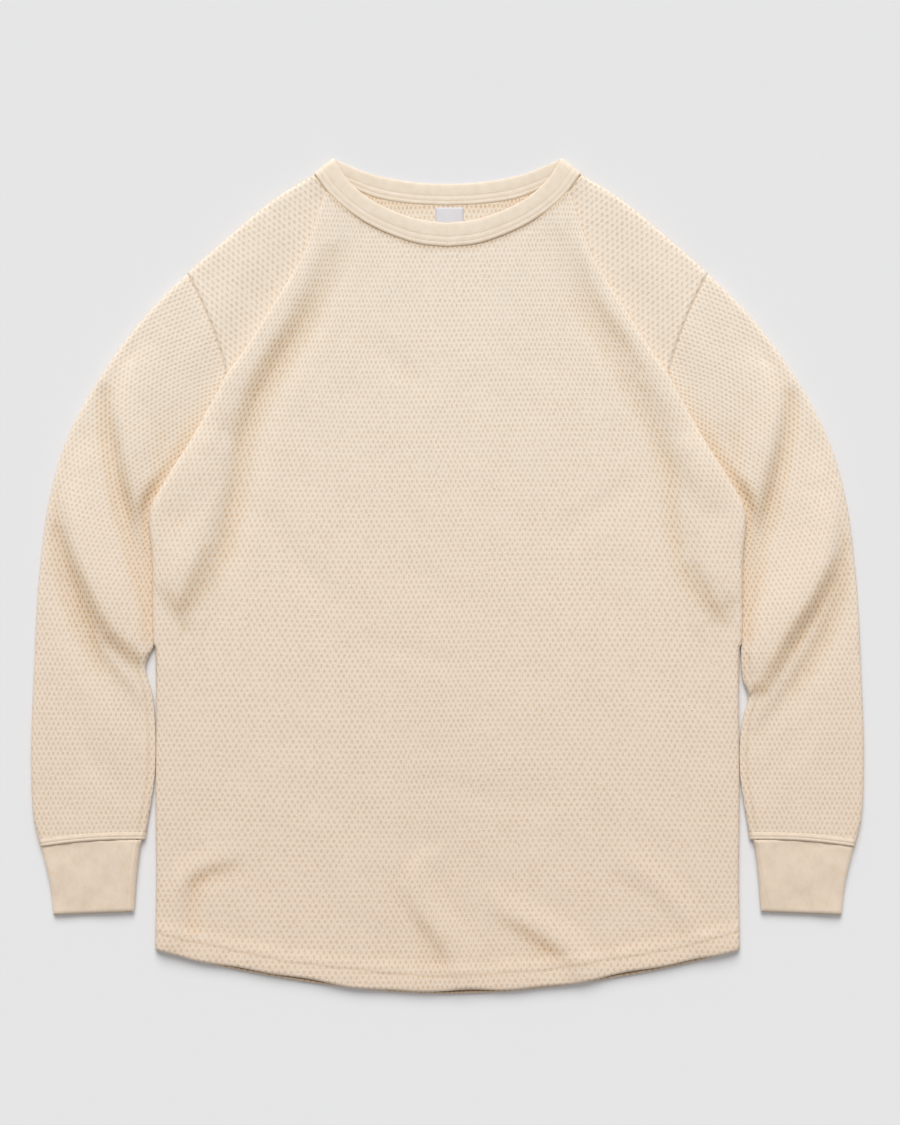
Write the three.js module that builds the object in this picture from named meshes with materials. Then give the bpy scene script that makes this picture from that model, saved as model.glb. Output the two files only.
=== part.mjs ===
// Thermal base layer top laid flat: waffle knit front, back and long sleeves, ribbed neckband and
// cuffs, a curved hem turned up inside, and a bare label in the back neck.
// Millimetres. +Z is up from the surface, +Y runs to the neck, +X to the wearer's left.
import * as THREE from "three";

// Driving dimensions
const KNIT = 1.8; // wall of the waffle knit
const RIB = 2.4; // wall of the doubled rib
const SEAM_GAP = 0.3; // clear space between two sewn pieces
const ARMHOLE_GAP = 0.4; // the same at the armhole
const CUFF_GAP = 0.5; // and between the sleeve and its cuff
const HEM_TURN = 18; // depth of the turned-up hem
const HEM_EXTRA = 1.6; // what the turned-up layer adds to the wall
const SEAM_HEIGHT = 3.1; // middle height of the rolled side edges
const ROLL = 4.5; // how far in from an edge the cloth has finished rolling over
const FRONT_HEIGHT = 6.4; // top of the front where it lies flattest
const TUCKED_HEIGHT = 5.1; // top of the sleeve where it slips under the front
const TUCKED_FALL = 0.8; // how much lower it lies further under
const SLEEVE_RISE = 1.5; // how much the sleeve loosens away from the front
const SLEEVE_LOOSENS = 45; // over this distance
const BAND_HEIGHT = 8.6; // top of the neckband at the front
const BAND_CROWN = 0.8; // how much it rounds down to its two edges
const BAND_MIDDLE = 4.2; // middle height of the neckband where it turns to the back
const CUFF_HEIGHT = 6.8; // top of the cuff
const FRONT_HEM_SHORT = 1.5; // how much higher the front hem ends than the back hem
const LABEL = { width: 26, length: 39, thick: 1, top: 343.6, middle: 1.8 };

// Colours are those of the undyed cloth in soft light
const KNIT_LOOK = { color: 0xe8d7c2, roughness: 0.92, metalness: 0 };
const RIB_LOOK = { color: 0xeddfcd, roughness: 0.88, metalness: 0 };
const LABEL_LOOK = { color: 0xf3f1ee, roughness: 0.7, metalness: 0 };

// Outline curves. `out` is the distance from the centre line and `up` the height along it.
const SHOULDER = [
  { out: 124, up: 374 },
  { out: 160, up: 352 },
  { out: 205, up: 315 },
  { out: 242, up: 282 },
];
const ARMHOLE = [
  { out: 242, up: 282 },
  { out: 225, up: 247 },
  { out: 212, up: 212 },
  { out: 205.5, up: 184.6 },
  { out: 207, up: 150 },
  { out: 216, up: 100 },
  { out: 232, up: 50 },
  { out: 250, up: 0 },
  { out: 266, up: -45 },
  { out: 273, up: -72 },
];
const SLEEVE_OUTER = [
  { out: 242, up: 282 },
  { out: 285, up: 238 },
  { out: 325, up: 183 },
  { out: 354, up: 128 },
  { out: 370, up: 75 },
  { out: 380, up: 0 },
  { out: 385, up: -90 },
  { out: 387.5, up: -170 },
  { out: 385, up: -226 },
  { out: 379, up: -250.5 },
];
const SLEEVE_INNER = [
  { out: 273, up: -72 },
  { out: 279.5, up: -88 },
  { out: 274.5, up: -122 },
  { out: 273, up: -165 },
  { out: 275, up: -200 },
  { out: 281, up: -247.5 },
];
const FOLD = [
  { out: 113, up: 359 },
  { out: 137, up: 296 },
  { out: 165, up: 250 },
  { out: 193, up: 206 },
];
const FOLD_OVER_SLEEVE = [
  { out: 216, up: 169 },
  { out: 239.5, up: 127 },
  { out: 262.7, up: 90 },
  { out: 276.7, up: 62 },
  { out: 274.8, up: 15 },
  { out: 273, up: -72 },
];
const SIDE = [
  { out: 272, up: -73 },
  { out: 271.1, up: -115 },
  { out: 271.6, up: -208 },
  { out: 271.1, up: -282 },
  { out: 272, up: -347.4 },
];
const HEM = [
  { out: 0, up: -388.5 },
  { out: 55, up: -386 },
  { out: 115, up: -379.5 },
  { out: 190, up: -367 },
  { out: 240, up: -356 },
  { out: 272, up: -347.4 },
];
const NECK_SEAM_FRONT = [
  { out: 0, up: 306 },
  { out: 31, up: 310 },
  { out: 75, up: 328 },
  { out: 107, up: 352 },
  { out: 124, up: 374 },
];
const NECK_EDGE_FRONT = [
  { out: 0, up: 328.5 },
  { out: 31, up: 333 },
  { out: 70, up: 349.5 },
  { out: 93, up: 369 },
  { out: 105.5, up: 388.5 },
];
const NECK_SEAM_BACK = [
  { out: 0, up: 345 },
  { out: 31, up: 346.5 },
  { out: 66, up: 352 },
  { out: 100, up: 366 },
  { out: 124, up: 374 },
];
const NECK_EDGE_BACK = [
  { out: 0, up: 365.4 },
  { out: 31, up: 367 },
  { out: 71, up: 374.5 },
  { out: 89, up: 381.5 },
  { out: 105.5, up: 388.5 },
];

// Folds of the upper layer: a positive rise is a ridge, a negative one a trough. `inner` and
// `outer` are how far it reaches on its body side and on its sleeve side, and `path` is where it
// runs, each place as its distance out and its height.
const LEFT = 1;
const RIGHT = -1;
const SLEEVE_FOLDS = [
  {
    side: RIGHT, rise: -2.2, inner: 14, outer: 12,
    path: [[314, 160], [298, 106], [284, 54], [279, 6], [277, -40]],
  },
  {
    side: RIGHT, rise: 4.2, inner: 24, outer: 12,
    path: [[352, 92], [330, 34], [305, -25], [287, -62]],
  },
  {
    side: RIGHT, rise: -1.6, inner: 10, outer: 16,
    path: [[356, 73], [344, 19], [322, -35], [304, -80], [284, -128]],
  },
  {
    side: LEFT, rise: -2.2, inner: 14, outer: 12,
    path: [[314, 150], [313, 106], [298, 52], [280, 6], [276, -35]],
  },
  {
    side: LEFT, rise: 4.2, inner: 24, outer: 12,
    path: [[353, 62], [335, 5], [308, -50], [285, -92]],
  },
  {
    side: LEFT, rise: -1.6, inner: 10, outer: 16,
    path: [[355, 44], [341, -8], [319, -51], [298, -102], [284, -137]],
  },
];
const FRONT_FOLDS = [
  {
    side: RIGHT, rise: -1.3, inner: 26, outer: 16,
    path: [[109, 299], [137, 229], [170, 164], [198, 118], [209, 38]],
  },
  {
    side: RIGHT, rise: -1.5, inner: 24, outer: 20,
    path: [[206, 52], [226, 0], [247, -29], [262, -60]],
  },
  {
    side: LEFT, rise: -1.3, inner: 26, outer: 16,
    path: [[109, 313], [132, 248], [188, 164], [200, 90], [203, 25]],
  },
  {
    side: LEFT, rise: -1.5, inner: 24, outer: 20,
    path: [[203, 35], [227, -26], [247, -56], [262, -84]],
  },
  {
    side: RIGHT, rise: 2.6, inner: 20, outer: 17,
    path: [[14, -270], [4, -310], [-8, -376]],
  },
  {
    side: LEFT, rise: 2.2, inner: 18, outer: 16,
    path: [[52, -300], [76, -325], [103, -364]],
  },
  {
    side: LEFT, rise: 1.3, inner: 16, outer: 14,
    path: [[190, -298], [215, -328], [236, -352]],
  },
  {
    side: RIGHT, rise: 1.4, inner: 18, outer: 16,
    path: [[150, -262], [222, -282], [242, -340]],
  },
  {
    side: RIGHT, rise: -1.0, inner: 16, outer: 14,
    path: [[40, -300], [28, -335], [22, -366]],
  },
  {
    side: LEFT, rise: 0.9, inner: 24, outer: 24,
    path: [[60, -190], [20, -202], [-20, -190]],
  },
];
// How much the front rises along its folded edge. `along` is measured from the neck.
const EDGE_RISE = [
  { along: 0, rise: 0.6 },
  { along: 90, rise: 1.6 },
  { along: 200, rise: 2.4 },
  { along: 330, rise: 2.9 },
  { along: 430, rise: 1.9 },
  { along: 500, rise: 0.5 },
  { along: 760, rise: 0.2 },
];
const EDGE_FLAT = 9; // the ridge keeps its height this far in
const EDGE_REACH = 46; // and has sunk to the flat front here

// Rows that the panels and sleeves share, so that their seams have the same points
const TIP_ROW = 6; // rows from the neck to the shoulder's tip
const ARMHOLE_STEPS = 18; // rows from there to the armpit
const CROSSING_STEP = 5; // the one where the armhole seam goes under the fold
const FOLD_ROWS = TIP_ROW + CROSSING_STEP;
const SIDE_ROWS = 25; // rows of the front below it
const BACK_SIDE_ROWS = 9; // rows of the back below the armpit
const SLEEVE_INNER_ROWS = 8;

// Columns of a panel near its rolled edge, as distances from it
const EDGE_COLUMNS = [0, 0.6, 1.8, ROLL, 10, 20];

const smooth = (from, to, value) => {
  const t = Math.min(1, Math.max(0, (value - from) / (to - from)));
  return t * t * (3 - 2 * t);
};
const mix = (a, b, t) => a + (b - a) * t;
const rollOver = (distance) => Math.sqrt(1 - (1 - Math.min(1, distance / ROLL)) ** 2);

// A smooth curve through the rows of an outline table
function curve(...tables) {
  const repeats = (row, before) => before && row.out === before.out && row.up === before.up;
  const rows = tables.flat().filter((row, i, all) => !repeats(row, all[i - 1]));
  const places = rows.map((row) => new THREE.Vector3(row.out, row.up, 0));
  const line = new THREE.CatmullRomCurve3(places, false, "centripetal");
  line.arcLengthDivisions = 400;
  return line;
}

// Height of an outline at a distance from the centre line
function heightOn(line, across) {
  const found = line.findIndex((point) => point.x >= across);
  const i = found < 0 ? line.length - 1 : Math.max(1, found);
  const [a, b] = [line[i - 1], line[i]];
  return mix(a.y, b.y, Math.min(1, (across - a.x) / (b.x - a.x || 1)));
}

// Distance from a place to a polyline, how far along it that is, and the side it lies on
function nearest(line, out, up) {
  let best = { distance: Infinity, along: 0, side: 1 };
  let walked = 0;
  for (let i = 1; i < line.length; i++) {
    const [ax, ay] = [line[i - 1].x, line[i - 1].y];
    const [dx, dy] = [line[i].x - ax, line[i].y - ay];
    const length = Math.hypot(dx, dy);
    const t = Math.min(1, Math.max(0, ((out - ax) * dx + (up - ay) * dy) / length ** 2));
    const distance = Math.hypot(out - ax - dx * t, up - ay - dy * t);
    if (distance < best.distance) {
      const side = Math.sign(dx * (up - ay) - dy * (out - ax)) || 1;
      best = { distance, along: walked + length * t, side };
    }
    walked += length;
  }
  return { ...best, share: best.along / walked };
}

const shoulder = curve(SHOULDER);
const armhole = curve(ARMHOLE);
const crossing = armhole.getPointAt(CROSSING_STEP / ARMHOLE_STEPS);
const CROSSING = [{ out: crossing.x, up: crossing.y }];
const sleeveOuter = curve(SLEEVE_OUTER);
const sleeveInner = curve(SLEEVE_INNER);
const fold = curve(FOLD, CROSSING);
const frontEdge = curve(FOLD, CROSSING, FOLD_OVER_SLEEVE, SIDE);
const side = curve(SIDE);
const hem = curve(HEM);
const silhouetteLine = curve(SHOULDER, SLEEVE_OUTER).getSpacedPoints(120);
const innerLine = sleeveInner.getSpacedPoints(40);
const edgeLine = frontEdge.getSpacedPoints(160);
const hemLine = hem.getSpacedPoints(60);
const neckSeamFrontLine = curve(NECK_SEAM_FRONT).getSpacedPoints(60);
const neckSeamBackLine = curve(NECK_SEAM_BACK).getSpacedPoints(60);
const neckEdgeFrontLine = curve(NECK_EDGE_FRONT).getSpacedPoints(60);
const neckEdgeBackLine = curve(NECK_EDGE_BACK).getSpacedPoints(60);
const sideLine = side.getSpacedPoints(40);
const shoulderLine = shoulder.getSpacedPoints(20);

// How far the cloth has rolled over, from 0 on one of two lines to 1 well inside both
function rolledAt(lines, out, up) {
  const [first, second] = lines.map((line) => rollOver(nearest(line, out, up).distance));
  return first * second;
}

// What the folds of a table add at a place on one side
function folded(table, which, out, up) {
  let sum = 0;
  for (const row of table) {
    const flip = row.side === which ? 1 : -1;
    const line = row.path.map(([a, b]) => new THREE.Vector2(a * flip, b));
    const near = nearest(line, out, up);
    const reach = near.side * flip > 0 ? row.outer : row.inner;
    const across = Math.cos((Math.PI / 2) * Math.min(1, near.distance / reach)) ** 2;
    sum += row.rise * across * Math.sin(Math.PI * mix(0.08, 0.92, near.share)) ** 0.6;
  }
  return sum;
}

const at = (table, along) => {
  const i = Math.max(1, table.findIndex((row) => row.along >= along));
  const [a, b] = [table[i - 1], table[i]];
  return mix(a.rise, b.rise, Math.min(1, Math.max(0, (along - a.along) / (b.along - a.along))));
};

// Height of the upper layer of the shoulder and sleeve, which slips under the front's edge
function sleeveHeight(which, out, up) {
  const front = nearest(edgeLine, out, up);
  const away = front.side > 0 ? front.distance : 0;
  const under = front.side > 0 ? 0 : front.distance;
  const loose = SLEEVE_RISE * smooth(0, SLEEVE_LOOSENS, away) - TUCKED_FALL * smooth(4, 20, under);
  const top = TUCKED_HEIGHT + loose + folded(SLEEVE_FOLDS, which, out, up) * smooth(1, 12, away);
  return mix(SEAM_HEIGHT, top, rolledAt([silhouetteLine, innerLine], out, up));
}

// Height of the front, which rolls down to the side seam, or to the sleeve that it lies on
function frontHeight(which, out, up, foot) {
  const near = nearest(edgeLine, out, up);
  const rise = at(EDGE_RISE, near.along) * (1 - smooth(EDGE_FLAT, EDGE_REACH, near.distance));
  const lift = HEM_EXTRA * (1 - smooth(HEM_TURN - 2, HEM_TURN + 10, aboveHem(out, up)));
  const top = FRONT_HEIGHT + rise + lift + folded(FRONT_FOLDS, which, out, up);
  return mix(foot, top, rollOver(near.distance));
}

// Foot of the front's rolled edge
function edgeFoot(which, out, up) {
  const seam = SEAM_HEIGHT + SEAM_GAP / 2;
  const overSleeve = sleeveHeight(which, out + 1, Math.max(up, -66)) + SEAM_GAP;
  return mix(seam, Math.max(overSleeve, seam), smooth(-86, -68, up));
}

// A sheet of triangles becomes a closed wall: each point is moved in along its normal, and the
// open edges are closed with a rim. A point of a side seam has its level normal in `level`.
function wall(points, faces, thickness, level = new Map()) {
  const normals = points.map(() => new THREE.Vector3());
  const edges = new Map();
  for (const face of faces) {
    const [a, b, c] = face.map((i) => points[i]);
    const normal = new THREE.Triangle(a, b, c).getNormal(new THREE.Vector3());
    face.forEach((i, k) => {
      const [before, after] = [points[face[(k + 2) % 3]], points[face[(k + 1) % 3]]];
      const angle = before.clone().sub(points[i]).angleTo(after.clone().sub(points[i]));
      normals[i].addScaledVector(normal, angle);
      const next = face[(k + 1) % 3];
      edges.set(`${i},${next}`, [i, next]);
    });
  }
  for (const [i, direction] of level) normals[i].copy(direction);
  const inner = points.map((point, i) =>
    point.clone().addScaledVector(normals[i].normalize(), -thickness(point)));
  const count = points.length;
  const all = faces.flatMap(([a, b, c]) => [[a, b, c], [c + count, b + count, a + count]]);
  for (const [a, b] of edges.values()) {
    if (!edges.has(`${b},${a}`)) all.push([b, a, a + count], [b, a + count, b + count]);
  }
  const geometry = new THREE.BufferGeometry().setFromPoints([...points, ...inner]);
  geometry.setIndex(all.flat());
  const solid = geometry.toNonIndexed();
  solid.computeVertexNormals();
  return solid;
}

// Triangles between rows of point numbers; a number that repeats closes a cell to a triangle
function cells(rows) {
  const faces = [];
  for (let r = 1; r < rows.length; r++) {
    for (let c = 1; c < rows[r].length; c++) {
      const [a, b] = [rows[r - 1][c - 1], rows[r - 1][c]];
      const [d, e] = [rows[r][c - 1], rows[r][c]];
      if (a !== b && d !== a && b !== d) faces.push([a, d, b]);
      if (b !== d && d !== e && e !== b) faces.push([b, d, e]);
    }
  }
  return faces;
}

// Level direction out of a panel at one row of its boundary
function outward(boundary, r, which) {
  const before = boundary[Math.max(0, r - 1)];
  const after = boundary[Math.min(boundary.length - 1, r + 1)];
  return new THREE.Vector3(which * (before.y - after.y), after.x - before.x, 0);
}

function mesh(name, geometry, look) {
  const piece = new THREE.Mesh(geometry, new THREE.MeshStandardMaterial(look));
  piece.name = name;
  return piece;
}

const FRONT_COLUMNS = 17;
const BACK_COLUMNS = 7;

// Columns of the shoulder wedge: shares of its width, or with a minus sign millimetres from its
// outer edge
const WEDGE_COLUMNS = [0.14, 0.32, 0.52, 0.72, -10, -ROLL, -1.8, -0.6, 1];

// Height of the hem at a share of the garment's width
const hemHeight = (share) => hem.getPoint(Math.min(1, Math.abs(2 * share - 1))).y;

// Places across a row: close together at its two edges, even between them
function columnsAcross(left, right, count) {
  const last = EDGE_COLUMNS[EDGE_COLUMNS.length - 1];
  const middle = Array.from({ length: count }, (_, i) =>
    mix(left + last, right - last, (i + 1) / (count + 1)));
  const fromLeft = EDGE_COLUMNS.map((d) => left + d);
  const fromRight = EDGE_COLUMNS.map((d) => right - d).reverse();
  return [...fromLeft, ...middle, ...fromRight];
}

const aboveHem = (out, up) => up - heightOn(hemLine, out);

function hemThickness(point) {
  const [out, up] = [Math.abs(point.x), point.y];
  const awayFromSide = smooth(ROLL / 2, 2 * ROLL, nearest(sideLine, out, up).distance);
  return KNIT + HEM_EXTRA * awayFromSide * (1 - smooth(HEM_TURN - 3, HEM_TURN, aboveHem(out, up)));
}

// Shares along a side from the armpit down to the hem, with a row on each side of the hem's turn
function rowShares(count, turnAt) {
  const shares = Array.from({ length: count + 1 }, (_, i) => (i / count) * (turnAt - 0.004));
  return [...shares, turnAt + 0.002, (1 + turnAt) / 2, 1];
}

function frontPanel() {
  const points = [];
  const level = new Map();
  const rows = [];
  const neckAt = (share) => {
    const across = Math.abs(2 * share - 1) * FOLD[0].out;
    return heightOn(neckSeamFrontLine, across) - FOLD[0].up;
  };
  const wholeLength = frontEdge.getLength();
  const lowerLength = wholeLength - fold.getLength();
  const turn = 1 - HEM_TURN / lowerLength;
  const lower = rowShares(SIDE_ROWS, turn).slice(1);
  const edge = [
    ...Array.from({ length: FOLD_ROWS + 1 }, (_, i) => fold.getPointAt(i / FOLD_ROWS)),
    ...lower.map((share) => frontEdge.getPointAt((fold.getLength() + share * lowerLength) / wholeLength)),
  ];
  const outerBoundary = Array.from({ length: FOLD_ROWS + 1 }, (_, i) => (i <= TIP_ROW
    ? shoulder.getPointAt(i / TIP_ROW)
    : armhole.getPointAt((i - TIP_ROW) / ARMHOLE_STEPS)));
  const fall = edge[0].y - edge[edge.length - 1].y;
  const add = (x, y, z) => points.push(new THREE.Vector3(x, y, z)) - 1;
  edge.forEach((point, r) => {
    const share = (edge[0].y - point.y) / fall;
    const neckPull = (1 - smooth(0, 1, share * 1.6)) ** 1.2;
    const hemPull = smooth(0.35, 1, share) ** 1.4;
    const row = columnsAcross(-point.x, point.x, FRONT_COLUMNS).map((x, c, all) => {
      const u = (x + point.x) / (2 * point.x);
      const low = hemHeight(u) + FRONT_HEM_SHORT - HEM[HEM.length - 1].up;
      const y = point.y + neckPull * neckAt(u) + hemPull * low;
      const which = x < 0 ? RIGHT : LEFT;
      const isEdge = c === 0 || c === all.length - 1;
      const foot = r < FOLD_ROWS
        ? sleeveHeight(which, point.x, point.y)
        : edgeFoot(which, Math.abs(point.x), point.y);
      const z = isEdge ? foot : frontHeight(which, Math.abs(x), y, foot);
      return add(x, y, z);
    });
    rows.push(row);
    if (r >= FOLD_ROWS) {
      level.set(row[0], outward(edge, r, RIGHT));
      level.set(row[row.length - 1], outward(edge, r, LEFT));
    }
  });
  const faces = cells(rows);
  for (const which of [RIGHT, LEFT]) {
    const wedge = [];
    for (let r = 0; r <= FOLD_ROWS; r++) {
      const foot = which === RIGHT ? rows[r][0] : rows[r][rows[r].length - 1];
      const [near, far] = [edge[r], outerBoundary[r]];
      const width = near.distanceTo(far);
      const shares = r === FOLD_ROWS
        ? WEDGE_COLUMNS.map(() => null)
        : WEDGE_COLUMNS.map((share) => (share < 0 ? Math.max(0.5, 1 + share / width) : share));
      wedge.push([foot, ...shares.map((share) => {
        if (share === null) return foot;
        const [out, up] = [mix(near.x, far.x, share), mix(near.y, far.y, share)];
        const onSeam = share === 1 && r <= TIP_ROW;
        const z = onSeam ? SEAM_HEIGHT + SEAM_GAP / 2 : sleeveHeight(which, out, up);
        return add(which * out, up, Math.max(z, SEAM_HEIGHT + SEAM_GAP / 2));
      })]);
      if (r <= TIP_ROW) level.set(wedge[r][wedge[r].length - 1], outward(outerBoundary, r, which));
    }
    faces.push(...cells(which === RIGHT ? wedge.map((row) => [...row].reverse()) : wedge));
  }
  return mesh("front_panel", wall(points, faces, hemThickness, level), KNIT_LOOK);
}

function backPanel() {
  const points = [];
  const level = new Map();
  const rows = [];
  const add = (x, y) => {
    const rolled = rolledAt([sideLine, shoulderLine], Math.abs(x), y);
    const z = (SEAM_HEIGHT - SEAM_GAP / 2) * (1 - rolled);
    return points.push(new THREE.Vector3(x, y, z)) - 1;
  };
  const length = side.getLength();
  const boundary = [
    ...Array.from({ length: TIP_ROW + 1 }, (_, i) => shoulder.getPointAt(i / TIP_ROW)),
    ...Array.from({ length: ARMHOLE_STEPS }, (_, i) => armhole.getPointAt((i + 1) / ARMHOLE_STEPS)),
    ...rowShares(BACK_SIDE_ROWS, 1 - HEM_TURN / length).slice(1).map((share) => side.getPointAt(share)),
  ];
  const top = NECK_SEAM_BACK[NECK_SEAM_BACK.length - 1];
  boundary.forEach((point, r) => {
    const share = (top.up - point.y) / (top.up - HEM[HEM.length - 1].up);
    const neckPull = (1 - smooth(0, 0.3, share)) ** 1.2;
    const hemPull = smooth(0.35, 1, share) ** 1.4;
    rows.push(columnsAcross(-point.x, point.x, BACK_COLUMNS).map((x) => {
      const u = (x + point.x) / (2 * point.x);
      const across = Math.abs(2 * u - 1) * top.out;
      const neck = heightOn(neckSeamBackLine, across) - top.up;
      const low = hemHeight(u) - HEM[HEM.length - 1].up;
      return add(x, point.y + neckPull * neck + hemPull * low);
    }));
    if (r <= TIP_ROW || r >= TIP_ROW + ARMHOLE_STEPS) {
      level.set(rows[r][0], outward(boundary, r, RIGHT));
      level.set(rows[r][rows[r].length - 1], outward(boundary, r, LEFT));
    }
  });
  const faces = cells(rows).map(([a, b, c]) => [c, b, a]);
  return mesh("back_panel", wall(points, faces, hemThickness, level), KNIT_LOOK);
}

// Columns of a flattened tube between its inner and its outer edge, as shares of its width or, with
// an edge named, millimetres from that edge; on top from the inner edge, then back underneath
const NEAR_INNER = [0.6, 1.8, ROLL].map((away) => ({ edge: "inner", away }));
const NEAR_OUTER = [ROLL, 1.8, 0.6].map((away) => ({ edge: "outer", away }));
const shares = (...list) => list.map((share) => ({ share }));
const TOP_COLUMNS = [
  ...shares(0), ...NEAR_INNER, ...shares(0.14, 0.28, 0.42, 0.56, 0.7, 0.84), ...NEAR_OUTER, ...shares(1),
];
const UNDER_COLUMNS = [
  ...[...NEAR_OUTER].reverse(), ...shares(0.75, 0.5, 0.25), ...[...NEAR_INNER].reverse(),
];

function placeAcross(inner, outer, { share, edge, away }) {
  const width = inner.distanceTo(outer);
  const near = Math.min(0.12, away / width);
  const part = edge ? (edge === "inner" ? near : 1 - near) : share;
  return new THREE.Vector3().lerpVectors(inner, outer, part);
}

// The sleeve runs from the shoulder's tip to the cuff. Its rows start on the armhole, where the
// upper and lower layers are apart, and below the armpit on the folded underarm edge.
function sleeve(which) {
  const points = [];
  const rowCount = ARMHOLE_STEPS + SLEEVE_INNER_ROWS;
  const [armholeLength, underarmLength] = [armhole.getLength(), sleeveInner.getLength()];
  const add = (place, z) => points.push(new THREE.Vector3(which * place.x, place.y, z)) - 1;
  const under = ({ x, y }) => SEAM_HEIGHT * (1 - rolledAt([silhouetteLine, innerLine], x, y));
  const rows = Array.from({ length: rowCount + 1 }, (_, r) => {
    const onArmhole = r <= ARMHOLE_STEPS;
    const share = onArmhole ? r / ARMHOLE_STEPS : (r - ARMHOLE_STEPS) / SLEEVE_INNER_ROWS;
    const line = onArmhole ? armhole : sleeveInner;
    const tangent = armhole.getTangentAt(onArmhole ? share : 1);
    const inner = line.getPointAt(share);
    if (onArmhole) inner.add(new THREE.Vector3(-tangent.y, tangent.x, 0).multiplyScalar(ARMHOLE_GAP));
    const walked = onArmhole ? share * armholeLength : armholeLength + share * underarmLength;
    const outer = sleeveOuter.getPointAt(walked / (armholeLength + underarmLength));
    if (!r) {
      const tip = add(inner, SEAM_HEIGHT);
      return [...TOP_COLUMNS, ...UNDER_COLUMNS, 0].map(() => tip);
    }
    const upper = TOP_COLUMNS.map((column) => placeAcross(inner, outer, column))
      .map((place) => add(place, sleeveHeight(which, place.x, place.y)));
    const lower = UNDER_COLUMNS.map((column) => placeAcross(inner, outer, column))
      .map((place) => add(place, under(place)));
    return [...upper, ...lower, r < ARMHOLE_STEPS ? add(inner, under(inner)) : upper[0]];
  });
  const faces = cells(rows);
  const outward = which === RIGHT ? faces.map(([a, b, c]) => [c, b, a]) : faces;
  const name = which === LEFT ? "sleeve_left" : "sleeve_right";
  return mesh(name, wall(points, outward, () => KNIT), KNIT_LOOK);
}

// Rings of a cuff from its seam to its open end
const CUFF_RINGS = [
  { outer: [377.5, -250.9], inner: [283.5, -248], height: 6.2 },
  { outer: [376.2, -256], inner: [286, -254], height: CUFF_HEIGHT },
  { outer: [372.5, -270], inner: [288.5, -268], height: CUFF_HEIGHT },
  { outer: [369, -285], inner: [290, -284], height: CUFF_HEIGHT },
  { outer: [367, -300], inner: [291, -298], height: CUFF_HEIGHT + 0.3 },
  { outer: [365.6, -315], inner: [292, -312], height: CUFF_HEIGHT + 0.5 },
];

function cuff(which) {
  const points = [];
  const rows = CUFF_RINGS.map(({ outer, inner, height }) => {
    const [from, to] = [inner, outer].map(([out, up]) => new THREE.Vector3(out, up - CUFF_GAP, 0));
    const across = (columns, heightAt) => columns.map((column) => {
      const place = placeAcross(from, to, column);
      const rolled = rollOver(Math.min(place.distanceTo(from), place.distanceTo(to)));
      return points.push(new THREE.Vector3(which * place.x, place.y, heightAt(rolled))) - 1;
    });
    const ring = [
      ...across(TOP_COLUMNS, (rolled) => mix(SEAM_HEIGHT, height, rolled)),
      ...across(UNDER_COLUMNS, (rolled) => SEAM_HEIGHT * (1 - rolled)),
    ];
    return [...ring, ring[0]];
  });
  const faces = cells(rows);
  const outward = which === RIGHT ? faces.map(([a, b, c]) => [c, b, a]) : faces;
  const name = which === LEFT ? "cuff_left" : "cuff_right";
  return mesh(name, wall(points, outward, () => RIB), RIB_LOOK);
}

// The neckband is one ring: along the front, round the wearer's left side, and along the back.
// Its rows end at the same points as those of the panels it is sewn to.
const BAND_COLUMNS = [0, 0.35, 0.7, 1];
const BAND_TURN = [0, 0.6, 2, 5];

function neckband() {
  const corner = NECK_SEAM_FRONT[NECK_SEAM_FRONT.length - 1].out;
  const tip = NECK_EDGE_FRONT[NECK_EDGE_FRONT.length - 1].out;
  const turn = [[corner, 374], [tip, 388.5]].map(([out, up]) => new THREE.Vector3(out, up, 0));
  const points = [];
  const row = (x, seamLine, edgeLine, heightAt) => BAND_COLUMNS.map((across) => {
    const out = Math.abs(x);
    const seam = new THREE.Vector2(out, heightOn(seamLine, out));
    const edgeOut = (out * tip) / corner;
    const edge = new THREE.Vector2(edgeOut, heightOn(edgeLine, edgeOut));
    const gap = mix(4 * SEAM_GAP, SEAM_GAP, smooth(0, 12, corner - out)) / seam.distanceTo(edge);
    const place = seam.lerp(edge, mix(gap, 1, across));
    const rolled = rollOver(nearest(turn, place.x, place.y).distance);
    const height = heightAt(rolled, across);
    return points.push(new THREE.Vector3(Math.sign(x) * place.x, place.y, height)) - 1;
  });
  const atFront = (rolled, across) =>
    mix(BAND_MIDDLE, BAND_HEIGHT - BAND_CROWN * (1 - Math.sin(Math.PI * across)), rolled);
  const atBack = (rolled) => BAND_MIDDLE * (1 - rolled);
  const turnPlaces = BAND_TURN.map((away) => away - corner);
  const frontPlaces = [
    ...turnPlaces,
    ...columnsAcross(-FOLD[0].out, FOLD[0].out, FRONT_COLUMNS),
    ...[...turnPlaces].reverse().map((x) => -x),
  ];
  const backPlaces = columnsAcross(-corner, corner, BACK_COLUMNS).slice(1, -1).reverse();
  const rows = [
    ...frontPlaces.map((x) => row(x, neckSeamFrontLine, neckEdgeFrontLine, atFront)),
    ...backPlaces.map((x) => row(x, neckSeamBackLine, neckEdgeBackLine, atBack)),
  ];
  return mesh("neckband", wall(points, cells([...rows, rows[0]]), () => RIB), RIB_LOOK);
}

function neckLabel() {
  const geometry = new THREE.BoxGeometry(LABEL.width, LABEL.length, LABEL.thick);
  const label = mesh("neck_label", geometry, LABEL_LOOK);
  label.position.set(LABEL.middle, LABEL.top - LABEL.length / 2, KNIT + SEAM_GAP + LABEL.thick / 2);
  return label;
}

const top = new THREE.Group();
top.add(frontPanel(), backPanel(), neckband(), neckLabel());
for (const which of [RIGHT, LEFT]) top.add(sleeve(which), cuff(which));

export default top;
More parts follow.
